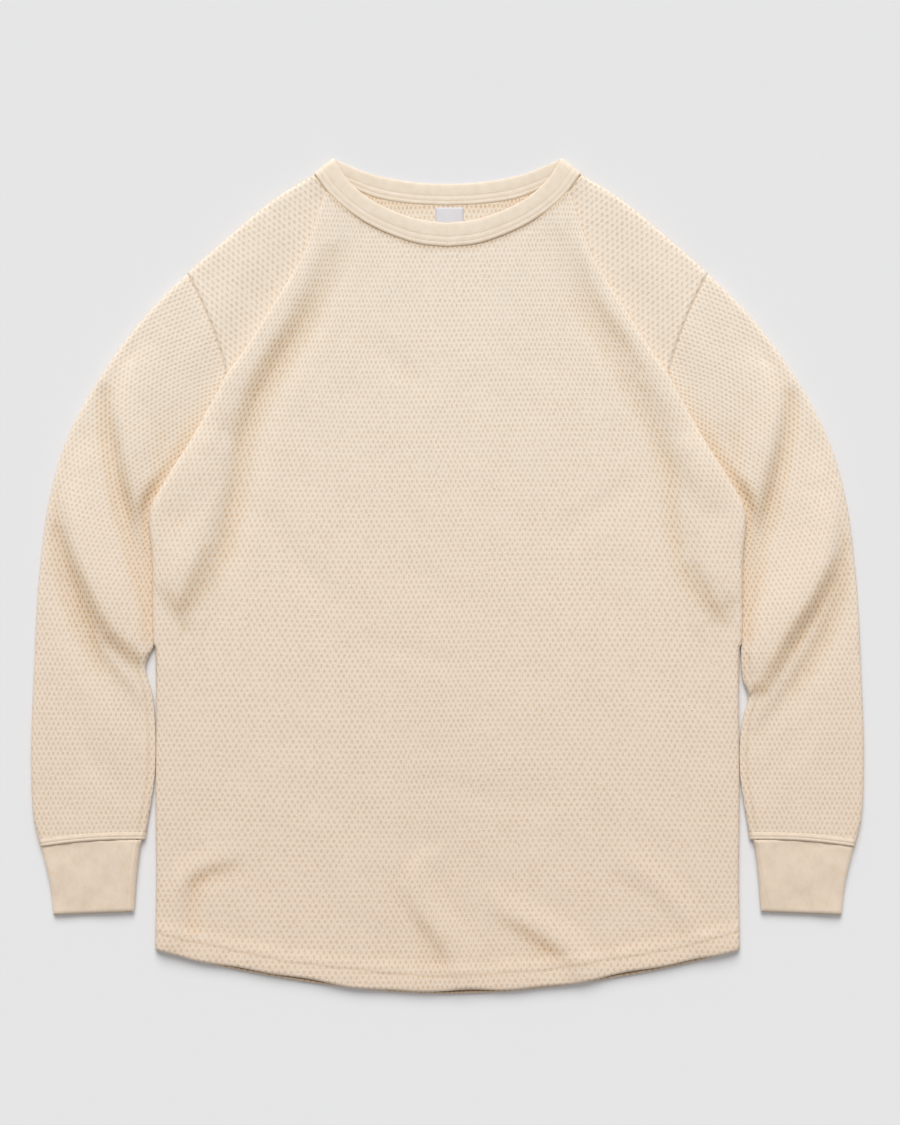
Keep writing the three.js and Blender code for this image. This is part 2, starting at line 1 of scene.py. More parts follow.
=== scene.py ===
"""Thermal base layer top laid flat on a pale floor, seen from above: waffle knit panels and sleeves,
ribbed neckband and cuffs, and a curved hem. Shapes are worked out in millimetres on the frame's
axes, +Y to the neck and +X to the wearer's left, and become metres where a mesh is made."""

import bpy
import numpy as np
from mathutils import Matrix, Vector
from mathutils.geometry import delaunay_2d_cdt


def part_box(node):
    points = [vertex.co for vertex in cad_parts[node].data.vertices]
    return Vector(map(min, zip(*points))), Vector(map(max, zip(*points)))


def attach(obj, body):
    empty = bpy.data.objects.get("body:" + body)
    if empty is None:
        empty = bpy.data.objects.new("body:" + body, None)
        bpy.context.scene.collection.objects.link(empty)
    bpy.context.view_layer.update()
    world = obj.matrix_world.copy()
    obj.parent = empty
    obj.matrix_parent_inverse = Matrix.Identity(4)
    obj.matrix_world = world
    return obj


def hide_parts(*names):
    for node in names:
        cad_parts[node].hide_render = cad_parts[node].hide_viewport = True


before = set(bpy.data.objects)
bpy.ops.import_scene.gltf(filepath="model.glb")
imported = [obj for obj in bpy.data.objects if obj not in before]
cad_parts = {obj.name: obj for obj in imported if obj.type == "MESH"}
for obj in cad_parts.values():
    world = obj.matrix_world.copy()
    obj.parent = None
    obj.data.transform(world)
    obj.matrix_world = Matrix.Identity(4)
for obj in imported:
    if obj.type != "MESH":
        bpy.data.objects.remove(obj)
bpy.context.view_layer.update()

MM = 0.001
LEFT, RIGHT = 1, -1  # the wearer's sides, on +X and -X

# Driving sizes
KNIT = 1.8  # wall of the waffle knit
RIB = 2.2  # wall of the doubled rib
SEAM_HEIGHT = 3.1  # middle height of the rolled side edges
ROLL = 4.5  # how far in from an edge the cloth has finished rolling over
FRONT_HEIGHT = 6.4  # top of the front where it lies flattest
TUCKED_HEIGHT = 5.1  # top of the sleeve where it slips under the front
TUCKED_FALL = 0.8  # how much lower it lies further under
SLEEVE_RISE = 3.2  # how much the sleeve loosens away from the front
SLEEVE_LOOSENS = 45  # over this distance
LOWEST_TOP = 3.8  # two walls of cloth, one on the other
EASE = 0.6  # how softly a trough flattens out on the layer below
HEM_TURN = 18  # depth of the turned-up hem
HEM_STITCH = 17  # height of its stitching above the edge
FRONT_HEM_SHORT = 1.8  # how much higher the front's hem ends than the back's
HEM_EXTRA = 1.6  # what the turned-up layer adds
HEM_ROLL = 3.2  # how far in from the hem's edge the cloth has finished rolling over
HEM_FOOT = 4.7  # where the front's hem ends, over the back's
HEM_STITCH_REACH = 267  # how far out from the centre line the hem's stitches run
SEAM_GAP = 0.15  # each layer's distance from the middle height at a side edge
LAID_ON = 0.3  # how far the front's edge stands off the sleeve under it
SLEEVE_SET_IN = -58  # the front lies on the sleeve as far down as this
BAND_WALL = 2.3  # the neckband's doubled wall, before its profile
BAND_FRONT = 7.0  # middle of the band's wall on top, and on the surface behind
BAND_BACK = 1.3
NECK_HEIGHT = 6.6  # height of the cloth where it meets the band on top
NECK_TUCK = 1.6  # how far the panels run on under the neckband
TUCK = 14  # how far a shoulder runs on under the front's fold

# The knit: pits a wale apart, in rows that are staggered by half a wale
WALE = 4.43
COURSE = 9.3
PIT_DEPTH = 0.36
SHOULDER_TURN = np.radians(24)  # the shoulder's wales lean out by this
SHOULDER_STRETCH = 1.16
WALE_SPLAY = 55  # how far apart the side wales come from the shoulders to the armpits
WALE_LEAN = 0.07  # and how much they lean all the way down

# Outlines: distance out from the centre line, and height along it
SHOULDER = [(124, 374), (160, 352), (205, 315), (242, 282)]
ARMHOLE = [
    (242, 282), (225, 247), (212, 212), (205.5, 184.6), (207, 150), (216, 100), (232, 50),
    (250, 0), (266, -42), (273, -64),
]
CROSSING_SHARE = 5 / 18  # where along the armhole the seam goes under the fold
SLEEVE_OUTER = [
    (242, 282), (285, 238), (325, 183), (354, 128), (370, 75), (380, 0), (385, -90),
    (387.5, -170), (385, -226), (379, -250.5),
]
SLEEVE_INNER = {
    RIGHT: [(273, -64), (281, -84), (275, -109), (272, -140), (272, -178), (275, -205), (281.5, -244)],
    LEFT: [
        (273, -64), (273.6, -84), (275, -97), (280, -112), (275.5, -130), (272.3, -152), (272, -180),
        (275, -205), (281.5, -244),
    ],
}
SLEEVE_GUIDE = [  # the line that the sleeve's wales follow
    (225, 305), (300, 222), (345, 143), (372, 60), (383, -50), (386, -170), (385, -300),
]
FOLD = [(113, 359), (137, 296), (165, 250), (193, 206)]
FOLD_OVER_SLEEVE = [(216, 169), (239.5, 127), (262.7, 90), (276.7, 62), (274.8, 15), (273, -64)]
SIDE = [(272, -65), (271.1, -115), (271.6, -208), (271.1, -282), (272, -347.4)]
HEM = [(0, -388.5), (55, -386), (115, -379.5), (190, -367), (240, -356), (272, -347.4)]
NECK_SEAM_FRONT = [(0, 306), (31, 310), (75, 328), (107, 352), (124, 374)]
NECK_EDGE_FRONT = [(0, 328.5), (31, 333), (70, 349.5), (93, 369), (105.5, 388.5)]
NECK_SEAM_BACK = [(0, 345), (31, 346.5), (66, 352), (100, 366), (124, 374)]
NECK_EDGE_BACK = [(0, 365.4), (31, 367), (71, 374.5), (89, 381.5), (105.5, 388.5)]

# Folds: side, rise (a trough's is negative), reach towards the body, reach towards the sleeve, path
SLEEVE_FOLDS = [
    (RIGHT, -3.6, 16, 20, [(322, 168), (313, 125), (305, 80), (295, 48), (285, 6), (281, -40)]),
    (RIGHT, 9.0, 52, 19, [(352, 92), (346, 45), (331, -3), (308, -48), (286, -68)]),
    (RIGHT, -2.6, 14, 28, [(366, 38), (356, -8), (339, -52), (320, -85), (298, -112), (283, -132)]),
    (RIGHT, 6.4, 36, 17, [(294, 190), (301, 152), (297, 112), (291, 76), (283, 44), (276, 12)]),
    (RIGHT, -1.0, 20, 20, [(352, -120), (330, -165), (300, -205)]),
    (LEFT, -3.2, 16, 20, [(320, 164), (313, 134), (304, 92), (296, 55), (281, 8), (278, -40)]),
    (LEFT, 9.2, 50, 19, [(360, 80), (352, 22), (334, -18), (310, -55), (289, -95)]),
    (LEFT, -2.6, 14, 28, [(376, 24), (368, -18), (348, -62), (320, -106), (288, -150)]),
    (LEFT, 6.4, 36, 17, [(296, 186), (303, 146), (296, 104), (287, 66), (275, 22)]),
    (LEFT, -1.1, 22, 22, [(340, -120), (318, -160), (290, -190)]),
]
FRONT_FOLDS = [
    (RIGHT, -3.4, 30, 20, [(109, 293), (134, 234), (160, 192), (177, 155), (190, 99), (204, 30)]),
    (RIGHT, 7.8, 28, 36, [(216, 112), (226, 60), (236, 4), (243, -32)]),
    (RIGHT, -2.7, 20, 16, [(222, 14), (239, -30), (249, -43), (264, -20)]),
    (RIGHT, -0.9, 20, 20, [(184, 71), (109, -22)]),
    (RIGHT, -0.8, 18, 18, [(63, 211), (16, 173)]),
    (RIGHT, -1.2, 18, 14, [(193, -273), (232, -286), (236, -317), (236, -345)]),
    (RIGHT, 1.6, 14, 18, [(202, -260), (245, -280), (254, -315), (256, -340)]),
    (RIGHT, 0.9, 26, 20, [(120, -230), (96, -290), (92, -350)]),
    (LEFT, -2.2, 30, 16, [(108, 310), (119, 285), (133, 252), (158, 215), (172, 190)]),
    (LEFT, -0.9, 30, 22, [(160, 212), (190, 140), (195, 62), (205, 20)]),
    (LEFT, 7.2, 28, 34, [(228, 112), (234, 62), (240, 8), (246, -34)]),
    (LEFT, -2.0, 17, 16, [(228, 2), (244, -38), (253, -48), (264, -30)]),
    (LEFT, -0.9, 22, 22, [(110, 40), (180, 90)]),
    (LEFT, 2.9, 17, 32, [(-19, -263), (-32, -282), (-23, -309), (0, -340), (9, -359), (14, -386)]),
    (LEFT, 2.7, 15, 28, [(50, -308), (78, -325), (102, -340), (117, -352), (128, -376)]),
    (LEFT, 1.5, 18, 22, [(160, -263), (199, -290), (229, -325), (240, -350)]),
    (LEFT, -0.7, 20, 20, [(-16, -189), (86, -217)]),
    (LEFT, -0.7, 18, 18, [(-70, -60), (10, -84)]),
]
BACK_FOLDS = [
    (RIGHT, 1.9, 26, 20, [(118, 300), (150, 235), (178, 170), (196, 95), (205, 40)]),
    (RIGHT, 1.6, 18, 26, [(232, 60), (244, 5), (250, -45), (252, -95)]),
    (RIGHT, 1.2, 20, 22, [(60, 250), (112, 190), (150, 150)]),
    (RIGHT, 1.3, 17, 24, [(205, -225), (232, -262), (246, -318)]),
    (RIGHT, 1.1, 24, 17, [(84, -215), (66, -285), (70, -350)]),
    (LEFT, 1.8, 28, 18, [(104, 306), (138, 240), (170, 160), (190, 110)]),
    (LEFT, 1.7, 20, 24, [(238, 40), (247, -22), (248, -80)]),
    (LEFT, 1.1, 22, 20, [(30, 120), (92, 96), (158, 122)]),
    (LEFT, 1.4, 20, 20, [(20, -240), (34, -300), (18, -362)]),
    (LEFT, 1.2, 16, 24, [(150, -248), (188, -292), (214, -340)]),
    (LEFT, 0.9, 26, 26, [(-60, -60), (20, -96), (110, -90)]),
]
UNDER_FOLDS = [
    (RIGHT, 1.3, 16, 18, [(318, 150), (304, 92), (292, 30), (284, -30)]),
    (RIGHT, 1.5, 22, 14, [(364, 70), (350, 8), (326, -44), (296, -84)]),
    (RIGHT, 1.1, 16, 20, [(366, -60), (340, -112), (306, -142)]),
    (RIGHT, 0.8, 18, 18, [(356, -150), (334, -190), (300, -216)]),
    (LEFT, 1.2, 18, 16, [(324, 140), (312, 84), (298, 30), (286, -20)]),
    (LEFT, 1.5, 16, 22, [(368, 50), (352, -14), (322, -62), (290, -98)]),
    (LEFT, 1.0, 18, 18, [(360, -90), (332, -134), (300, -160)]),
    (LEFT, 0.7, 16, 20, [(350, -170), (326, -206), (304, -226)]),
]
EDGE_RISE = [  # along the front's edge: distance from the neck, and how much higher it stands
    (0, 0.8), (60, 3.0), (140, 5.0), (250, 6.2), (330, 6.6), (400, 5.4), (450, 3.2), (540, 1.6),
    (760, 0.9),
]
UNDERARM_SEAM = 6.5  # how far in from the sleeve's inner edge its seam shows
CREVICE = 2.6  # how far the sleeve dips where the front's edge stands over it
FOLD_STEP = 15  # spacing of the points along a fold
EDGE_FLAT = 9  # how far in from the edge that rise stays whole
EDGE_REACH = 46  # and where it has ended
FAR_FROM_SEAM = 40.0  # stands for any place that no seam is near
ROW_DEPTHS = (0.35, 1.0, 2.0, 3.3)  # rows of points that follow an outline where it rolls over
ROW_GAP = 0.7  # least distance of those points from the knit's own

# Rib pieces and stitches
BAND_PROFILE = [  # distance from the opening's edge, and how much thicker the wall is than its base
    (0, -1.7), (0.5, -0.7), (1.6, 0.0), (4, 0.25), (8, 0.25), (11, 0.1), (12.1, -0.1), (12.8, -0.45),
    (13.5, -0.1), (14.6, 0.15), (16.4, 0.1), (17.2, -0.1), (17.9, -0.5), (18.6, -0.1),
    (19.6, 0.1), (20.8, -0.15), (21.7, -0.7), (22.2, -1.5),
]
RIB_WALE = 1.15  # width of the rib's wales
BAND_STITCHES = (12.8, 17.9)  # where the band's two rows of stitches run
CUFF_RINGS = [  # outer edge's place and inner edge's place, from the seam to the open end
    (378.3, -250.9, 284, -244.6), (377.0, -256, 286, -251.5), (373.6, -270, 288.3, -268),
    (370.2, -285, 289.8, -284), (368.2, -300, 290.8, -298), (366.8, -315, 291.8, -312),
]
CUFF_ROWS = 54
CUFF_DEPTH = 65
CUFF_GAP = 0.3  # between the sleeve's end and the cuff
CUFF_HEIGHT = 7.6  # top of the cuff by its seam
CUFF_MOUTH = 6.2  # height of its open end
CUFF_SEAM = 6  # how far in from the inner edge its own seam runs
STRIP_PROFILE = [  # from the cuff's seam up the sleeve: distance, and height over the sleeve
    (-0.9, -2.2), (-0.7, -0.4), (-0.3, 0.35), (0.5, 0.75), (1.3, 0.8), (1.8, 0.6), (2.1, 0.45),
    (2.5, 0.65), (3.3, 0.8), (4.2, 0.75), (4.7, 0.55), (5.0, 0.4), (5.4, 0.45), (5.9, 0.3),
    (6.3, -0.5),
]
STRIP_LOWEST = -249  # the sleeve's height is taken no lower down than this
RING_EDGE = [0, 0.3, 1.0, 2.1, 3.4, 4.4, 5.0, 5.5, 6.0, 6.5, 7.2]  # points by a tube's edge
RING_COLUMNS = 46  # points across the rest of it
LABEL_WALL = 0.5
LABEL_HEIGHT = 2.6  # top of the label at its two sides
STITCH_SIDES = 6
STITCH_RINGS = [  # share of the length, of the radius, and how far the stitch arches up
    (-0.5, 0.25, -0.1), (-0.3, 0.9, 0.1), (0, 1.0, 0.22), (0.3, 0.9, 0.1), (0.5, 0.25, -0.1),
]

# Red, green and blue of each colour, as in soft light
RIDGE = (246, 232, 214)
# painted shade in the knit's pits: darker and warmer than the ridges
PIT_SHADE = (211, 176, 135)
LOW_SHADE = (0.948, 0.921, 0.901)  # painted shade: the cloth darkens this much towards the hem and cuffs, where the light falls off
LOW_SHADE_SPAN = (0.36, -0.4)  # from the neck to the hem, in metres
PAINTED_SHADE_TINT = (0.95, 0.88, 0.785)  # painted shade: cloth is made warmer and darker in troughs and on slopes turned from the light
RIB_LIGHT = (252, 237, 217)
RIB_DARK = (234, 215, 190)
LABEL_WHITE = (236, 233, 236)
THREAD = (240, 228, 212)
FLOOR = (229, 229, 230)
UNTINTED = (1.0, 1.0, 1.0, 1.0)

# Floor and soft light
FLOOR_SIZE = 12  # metres
FLOOR_DROP = 0.0002  # how far the floor lies below the cloth, in metres
SUN_STRENGTH = 2.75
SUN_WIDTH = 0.7  # radians
SUN_TOWARDS = (0.06, -1.0, -0.84)
SKY_STRENGTH = 0.45

# The photograph's frame: 900 by 1125 with 0.93 mm a pixel at the cloth
FRAME_HEIGHT = 1125 * 0.93
FRAME_MIDDLE = (2.3, 13.0)
CLOTH_HEIGHT = 5  # where the photograph's scale holds, above the floor
LENS = 85
SENSOR = 36


def smooth(low, high, value):
    t = np.clip((value - low) / (high - low), 0, 1)
    return t * t * (3 - 2 * t)


def mix(a, b, t):
    return a + (b - a) * t


def cuff_bow(share):
    """How far the cuff's seam bows up the sleeve."""
    return 2.4 * np.sin(np.pi * share)


def at_least(lowest, height):
    """Heights that ease into the lowest one that they may have."""
    return np.logaddexp(height / EASE, lowest / EASE) * EASE


def roll_over(distance, reach=ROLL):
    return np.sqrt(1 - (1 - np.clip(distance / reach, 0, 1)) ** 2)


# Curves


def curve(*tables, step=2.0):
    """A smooth line through the rows of outline tables, as points about a step apart."""
    rows = []
    for row in (row for table in tables for row in table):
        if not rows or rows[-1] != row:
            rows.append(row)
    points = np.array(rows, dtype=float)
    ends = np.vstack([2 * points[0] - points[1], points, 2 * points[-1] - points[-2]])
    fine = []
    for p0, p1, p2, p3 in zip(ends, ends[1:], ends[2:], ends[3:]):
        d0, d1, d2 = (np.sqrt(np.linalg.norm(b - a)) for a, b in ((p0, p1), (p1, p2), (p2, p3)))
        start = ((p1 - p0) / d0 - (p2 - p0) / (d0 + d1) + (p2 - p1) / d1) * d1
        end = ((p2 - p1) / d1 - (p3 - p1) / (d1 + d2) + (p3 - p2) / d2) * d1
        t = np.linspace(0, 1, 40, endpoint=False)[:, None]
        fine.append(
            p1 + start * t + (3 * (p2 - p1) - 2 * start - end) * t**2
            + (2 * (p1 - p2) + start + end) * t**3
        )
    return respaced(np.vstack([*fine, points[-1:]]), step)


def lengths(line):
    return np.concatenate([[0], np.cumsum(np.hypot(*np.diff(line, axis=0).T))])


def sampled(values, along, places):
    """Rows of values that are known at some lengths along a line, at other lengths."""
    return np.column_stack([np.interp(places, along, column) for column in values.T])


def respaced(line, step):
    along = lengths(line)
    places = np.linspace(0, along[-1], max(2, int(round(along[-1] / step)) + 1))
    return sampled(line, along, places)


def unit(vectors):
    return vectors / np.linalg.norm(vectors, axis=-1)[..., None]


def part_of(line, start, end):
    """The stretch of a line between two shares of its length."""
    along = lengths(line)
    places = np.linspace(start, end, max(2, int((end - start) * len(line)) + 1)) * along[-1]
    return sampled(line, along, places)


def nearest(line, x, y):
    """Distance from each place to a line, how far along it that is, and the line's side: 1 is
    towards the sleeve on a line that runs down the left of the garment."""
    distance = np.full(np.shape(x), np.inf)
    along = np.zeros(np.shape(x))
    side = np.ones(np.shape(x))
    walked = 0.0
    for (ax, ay), (bx, by) in zip(line, line[1:]):
        dx, dy = bx - ax, by - ay
        length = np.hypot(dx, dy)
        t = np.clip(((x - ax) * dx + (y - ay) * dy) / length**2, 0, 1)
        away = np.hypot(x - ax - dx * t, y - ay - dy * t)
        closer = away < distance
        distance = np.where(closer, away, distance)
        along = np.where(closer, walked + length * t, along)
        side = np.where(closer, np.where(dx * (y - ay) - dy * (x - ax) >= 0, 1, -1), side)
        walked += length
    return distance, along, side


def height_on(line, across):
    return np.interp(np.abs(across), line[:, 0], line[:, 1])


def mirrored(line, side):
    return line * (side, 1)


def named(kind, side):
    return f"{kind}_left" if side == LEFT else f"{kind}_right"


def both_sides(line):
    """A line that starts on the centre, continued to its mirror image on the right."""
    return np.vstack([mirrored(line, RIGHT)[::-1], line[1:]])


def front_hem():
    """The front's hem ends a little above the back's, unevenly."""
    x, y = both_sides(HEM_LINE).T
    ripple = 1.2 * np.sin(x / 27 + 1) + 0.7 * np.sin(x / 11.5)
    return np.column_stack([x, y + (FRONT_HEM_SHORT + ripple) * (1 - smooth(232, 270, np.abs(x)))])


SHOULDER_LINE = curve(SHOULDER)
ARMHOLE_LINE = curve(ARMHOLE)
CROSSING = tuple(part_of(ARMHOLE_LINE, CROSSING_SHARE, CROSSING_SHARE + 0.01)[0])
OUTER_LINE = curve(SLEEVE_OUTER)
INNER_LINES = {side: curve(rows) for side, rows in SLEEVE_INNER.items()}
SILHOUETTE = curve(SHOULDER, SLEEVE_OUTER, step=6)
FOLD_LINE = curve(FOLD, [CROSSING])
EDGE_LINE = curve(FOLD, [CROSSING], FOLD_OVER_SLEEVE, SIDE)
EDGE_COARSE = respaced(EDGE_LINE, 6)
SIDE_LINE = curve(SIDE)
HEM_LINE = curve(HEM)
FRONT_HEM = front_hem()
SEAM_FRONT = curve(NECK_SEAM_FRONT, step=1.5)
SEAM_FRONT_WHOLE = both_sides(SEAM_FRONT)
SEAM_BACK = curve(NECK_SEAM_BACK, step=1.5)
BAND_EDGE_FRONT = curve(NECK_EDGE_FRONT, step=1.5)
BAND_EDGE_BACK = curve(NECK_EDGE_BACK, step=1.5)


# Heights of the cloth, at places on the garment


def folded(table, x, y):
    """What the ridges and the troughs of a table add."""
    ridges, troughs = np.zeros(np.shape(x)), np.zeros(np.shape(x))
    for side, rise, inner, outer, path in table:
        line = mirrored(curve(path, step=FOLD_STEP), side)
        distance, along, across = nearest(line, x, y)
        reach = np.where(across * side > 0, outer, inner)
        bell = np.cos(np.pi / 2 * np.clip(distance / reach, 0, 1)) ** 2
        share = along / lengths(line)[-1]
        total = ridges if rise > 0 else troughs
        total += rise * bell * np.sin(np.pi * mix(0.08, 0.92, share)) ** 0.6
    return ridges, troughs


def waves(x, y, size=0.18):
    """Slight unevenness of cloth that lies loosely."""
    return size * (
        np.sin(x / 23 + 1.3 * np.sin(y / 61)) * np.sin(y / 31 + 0.7)
        + 0.7 * np.sin(x / 11.3 + y / 17.9) * np.sin(y / 14.1 - x / 29 + 2)
    )


def hem_wander(x):
    """How the hem's stitching strays from its line."""
    return 0.7 * np.sin(x / 19) + 0.4 * np.sin(x / 7.3)


def from_inner_edge(x, y):
    """Distance from the sleeve's inner edge, on either side."""
    right, left = (nearest(INNER_LINES[side], np.abs(x), y)[0] for side in (RIGHT, LEFT))
    return np.where(np.asarray(x) > 0, left, right)


def from_armhole(x, y):
    return nearest(ARMHOLE_LINE, np.abs(x), y)[0]


def above_hem(x, y):
    return y - height_on(HEM_LINE, x)


def from_hem_stitches(x, y):
    return above_hem(x, y) - HEM_STITCH - hem_wander(x)


def shoulder_height(x, y):
    """Upper layer of the shoulder and sleeve, which slips under the front's edge."""
    out = np.abs(x)
    distance, along, side = nearest(EDGE_COARSE, out, y)
    away = np.where(side > 0, distance, 0)
    under = np.where(side > 0, 0, distance)
    loose = SLEEVE_RISE * smooth(0, SLEEVE_LOOSENS, away) - TUCKED_FALL * smooth(4, 20, under)
    ridges, troughs = folded(SLEEVE_FOLDS, x, y)
    from_outside = nearest(SILHOUETTE, out, y)[0]
    ridges = ridges * mix(0.25, 1, smooth(0, 26, from_outside))
    shape = (ridges + waves(x, y)) * smooth(1, 14, away) + troughs * (1 - smooth(0, 6, under))
    shape -= CREVICE * smooth(240, 320, along) * (1 - smooth(0, 9, away))
    from_inside = from_inner_edge(x, y)
    from_seam = from_inside - UNDERARM_SEAM
    welt = 0.5 * np.exp(-(((from_seam + 3) / 1.9) ** 2)) - 0.5 * np.exp(-((from_seam / 1.5) ** 2))
    shape += welt * smooth(-66, -80, y)
    edges = roll_over(from_outside) * roll_over(from_inside)
    return mix(SEAM_HEIGHT, at_least(LOWEST_TOP, TUCKED_HEIGHT + loose + shape), edges)


def front_top(x, y):
    """The front's upper surface well in from its edges."""
    distance, along, _ = nearest(EDGE_COARSE, np.abs(x), y)
    rise = np.interp(along, *zip(*EDGE_RISE)) * (1 - smooth(EDGE_FLAT, EDGE_REACH, distance))
    lift = HEM_EXTRA * (1 - smooth(HEM_TURN - 2, HEM_TURN + 10, above_hem(x, y)))
    from_stitch = above_hem(x, y) - HEM_STITCH
    puckers = 1 + 0.6 * np.sin(x / 7.3) * np.sin(x / 31)
    puff = 0.8 * np.exp(-(((from_stitch - 5.5) / 3.2) ** 2)) * puckers
    puff -= 0.8 * np.exp(-((from_stitch / 2.6) ** 2))
    folds = sum(folded(FRONT_FOLDS, x, y))
    return at_least(LOWEST_TOP, FRONT_HEIGHT + rise + lift + puff + folds + waves(x, y))


def front_height(x, y):
    """The front rolls down to the side seam, to the sleeve or shoulder it lies on, or to its hem."""
    out = np.abs(x)
    near_edge, _, _ = nearest(EDGE_LINE, out, y)
    near_hem, _, _ = nearest(FRONT_HEM, x, y)
    top = front_top(x, y)
    over_sleeve = shoulder_height(np.sign(x) * (out + 1), np.maximum(y, SLEEVE_SET_IN)) + LAID_ON
    seam = SEAM_HEIGHT + SEAM_GAP
    foot = mix(seam, np.maximum(over_sleeve, seam), smooth(-78, -60, y))
    top = mix(foot, top, roll_over(near_edge))
    hem_foot = mix(seam, HEM_FOOT, smooth(0, 12, near_edge))
    return mix(hem_foot, top, roll_over(near_hem, HEM_ROLL)) - neck_dip(x, y)


def neck_dip(x, y):
    """The cloth slips under the neckband's lip."""
    distance, _, side = nearest(SEAM_FRONT_WHOLE, x, y)
    under = np.where(side > 0, 0.6, 0.0) * smooth(0.3, 1.5, distance)
    return under - 0.35 * (1 - smooth(0, 2.5, distance))


def back_height(x, y):
    """Underside of the back, which curls up to the side, shoulder and hem edges."""
    out = np.abs(x)
    side = roll_over(nearest(SIDE_LINE, out, y)[0]) * roll_over(nearest(SHOULDER_LINE, out, y)[0])
    near_hem = nearest(HEM_LINE, out, y)[0]
    hem = roll_over(near_hem, HEM_ROLL)
    furrow = 0.5 * np.exp(-(((near_hem - HEM_STITCH) / 2.4) ** 2))
    dents = 0.8 * sum(folded(BACK_FOLDS, x, y)) * smooth(3, 20, near_hem) + furrow
    curl = (SEAM_HEIGHT - SEAM_GAP) * (1 - side * hem)
    return curl + dents * side + seam_dip(from_armhole(x, y))


def sleeve_under(x, y):
    """Underside of the sleeve, which curls up to its outer and inner edges."""
    edges = roll_over(nearest(SILHOUETTE, np.abs(x), y)[0]) * roll_over(from_inner_edge(x, y))
    dents = sum(folded(UNDER_FOLDS, x, y)) * edges
    return SEAM_HEIGHT * (1 - edges) + dents + seam_dip(from_armhole(x, y))


def seam_dip(distance):
    """The cloth pulls in where two pieces are sewn together."""
    return 0.7 * (1 - smooth(0, 3, distance))


def painted_shade_of(height, x, y, cell=4.0, reach=3):
    """Painted shade, from 0 to 1: most in a trough, and where the cloth falls towards the hem, turned
    from the light.
    """
    low = np.array([x.min(), y.min()]) - 40
    high = np.array([x.max(), y.max()]) + 40
    axes = [np.arange(a, b + 2 * cell, cell) for a, b in zip(low, high)]
    z = height(*np.meshgrid(*axes, indexing="ij"))
    weights = np.exp(-((np.arange(-2 * reach, 2 * reach + 1) / reach) ** 2) / 2)
    weights /= weights.sum()
    blurred = z
    for axis in (0, 1):
        moved = (np.roll(blurred, k, axis) for k in range(-2 * reach, 2 * reach + 1))
        blurred = sum(w * layer for w, layer in zip(weights, moved))
    falling = np.gradient(z, cell, axis=1)
    # troughs, and slopes that fall away from the light, get painted shade
    shade_painted = 0.62 * smooth(0.1, 1.5, blurred - z) + 0.95 * smooth(0.03, 0.28, falling)
    u, v = (x - low[0]) / cell, (y - low[1]) / cell
    i, j = u.astype(int), v.astype(int)
    u, v = u - i, v - j
    return np.clip(
        shade_painted[i, j] * (1 - u) * (1 - v) + shade_painted[i + 1, j] * u * (1 - v)
        + shade_painted[i, j + 1] * (1 - u) * v + shade_painted[i + 1, j + 1] * u * v, 0, 1,
    )


# Where a place of the fabric lies on the garment, and back


def wobble(x, y):
    """Unevenness of the knit in the lie of its wales and courses."""
    return (
        0.8 * np.sin(y / 47 + 0.6) + 0.5 * np.sin(x / 31 + y / 83),
        0.9 * np.sin(x / 53 - 0.4) + 0.5 * np.sin(x / 67 + y / 29),
    )


def lean(x, y):
    """Towards the sides the wales splay out, most below the shoulders."""
    dx, dy = wobble(x, y)
    splay = -WALE_SPLAY * (smooth(0, 320, y) - 0.5) - WALE_LEAN * y
    return dx + np.sign(x) * smooth(20, 250, np.abs(x)) * splay, dy


def undone(shift, x, y):
    """Where a place was before a shift."""
    a, b = x, y
    for _ in range(9):
        dx, dy = shift(a, b)
        a, b = x - dx, y - dy
    return a, b


def body_plan(a, b):
    dx, dy = lean(a, b)
    return a + dx, b + dy


def body_fabric(x, y):
    return undone(lean, x, y)


def shoulder_maps(side):
    """The shoulder's fabric is turned and a little stretched."""
    turn = -side * SHOULDER_TURN
    cos, sin = np.cos(turn) * SHOULDER_STRETCH, np.sin(turn) * SHOULDER_STRETCH
    middle = np.array([side * 190, 290])

    def plan(a, b):
        x, y = a * cos - b * sin + middle[0], a * sin + b * cos + middle[1]
        dx, dy = wobble(x, y)
        return x + dx, y + dy

    def fabric(x, y):
        x, y = undone(wobble, x, y)
        px, py = (x - middle[0]) / SHOULDER_STRETCH**2, (y - middle[1]) / SHOULDER_STRETCH**2
        return px * cos + py * sin, -px * sin + py * cos

    return plan, fabric


def sleeve_maps(side):
    """The sleeve's wales follow its outer edge smoothly."""
    line = mirrored(curve(SLEEVE_GUIDE, step=6), side)
    along = lengths(line)
    tangent = unit(np.gradient(line, along, axis=0))
    inward = np.column_stack([tangent[:, 1], -tangent[:, 0]]) * side

    def plan(a, b):
        at = np.clip(b, 0, along[-1])
        x, y, nx, ny, tx, ty = (
            np.interp(at, along, values)
            for values in (*line.T, *inward.T, *tangent.T)
        )
        return x + nx * a + tx * (b - at), y + ny * a + ty * (b - at)

    def fabric(x, y):
        distance, walked, across = nearest(line, x, y)
        return -side * across * distance, walked

    return plan, fabric


# Knitted sheets


def enclosed(starts, ends, x, y):
    """Whether places are inside closed lines that are given as the two ends of each stretch."""
    hit = np.zeros(np.shape(x), dtype=bool)
    for (ax, ay), (bx, by) in zip(starts, ends):
        if ay != by:
            crosses = (ay > y) != (by > y)
            hit ^= crosses & (x < ax + (y - ay) * (bx - ax) / (by - ay))
    return hit


def inside(loop, x, y):
    return enclosed(loop, np.roll(loop, -1, axis=0), x, y)


def away_from(loop, x, y):
    return nearest(np.vstack([loop, loop[:1]]), x, y)[0]


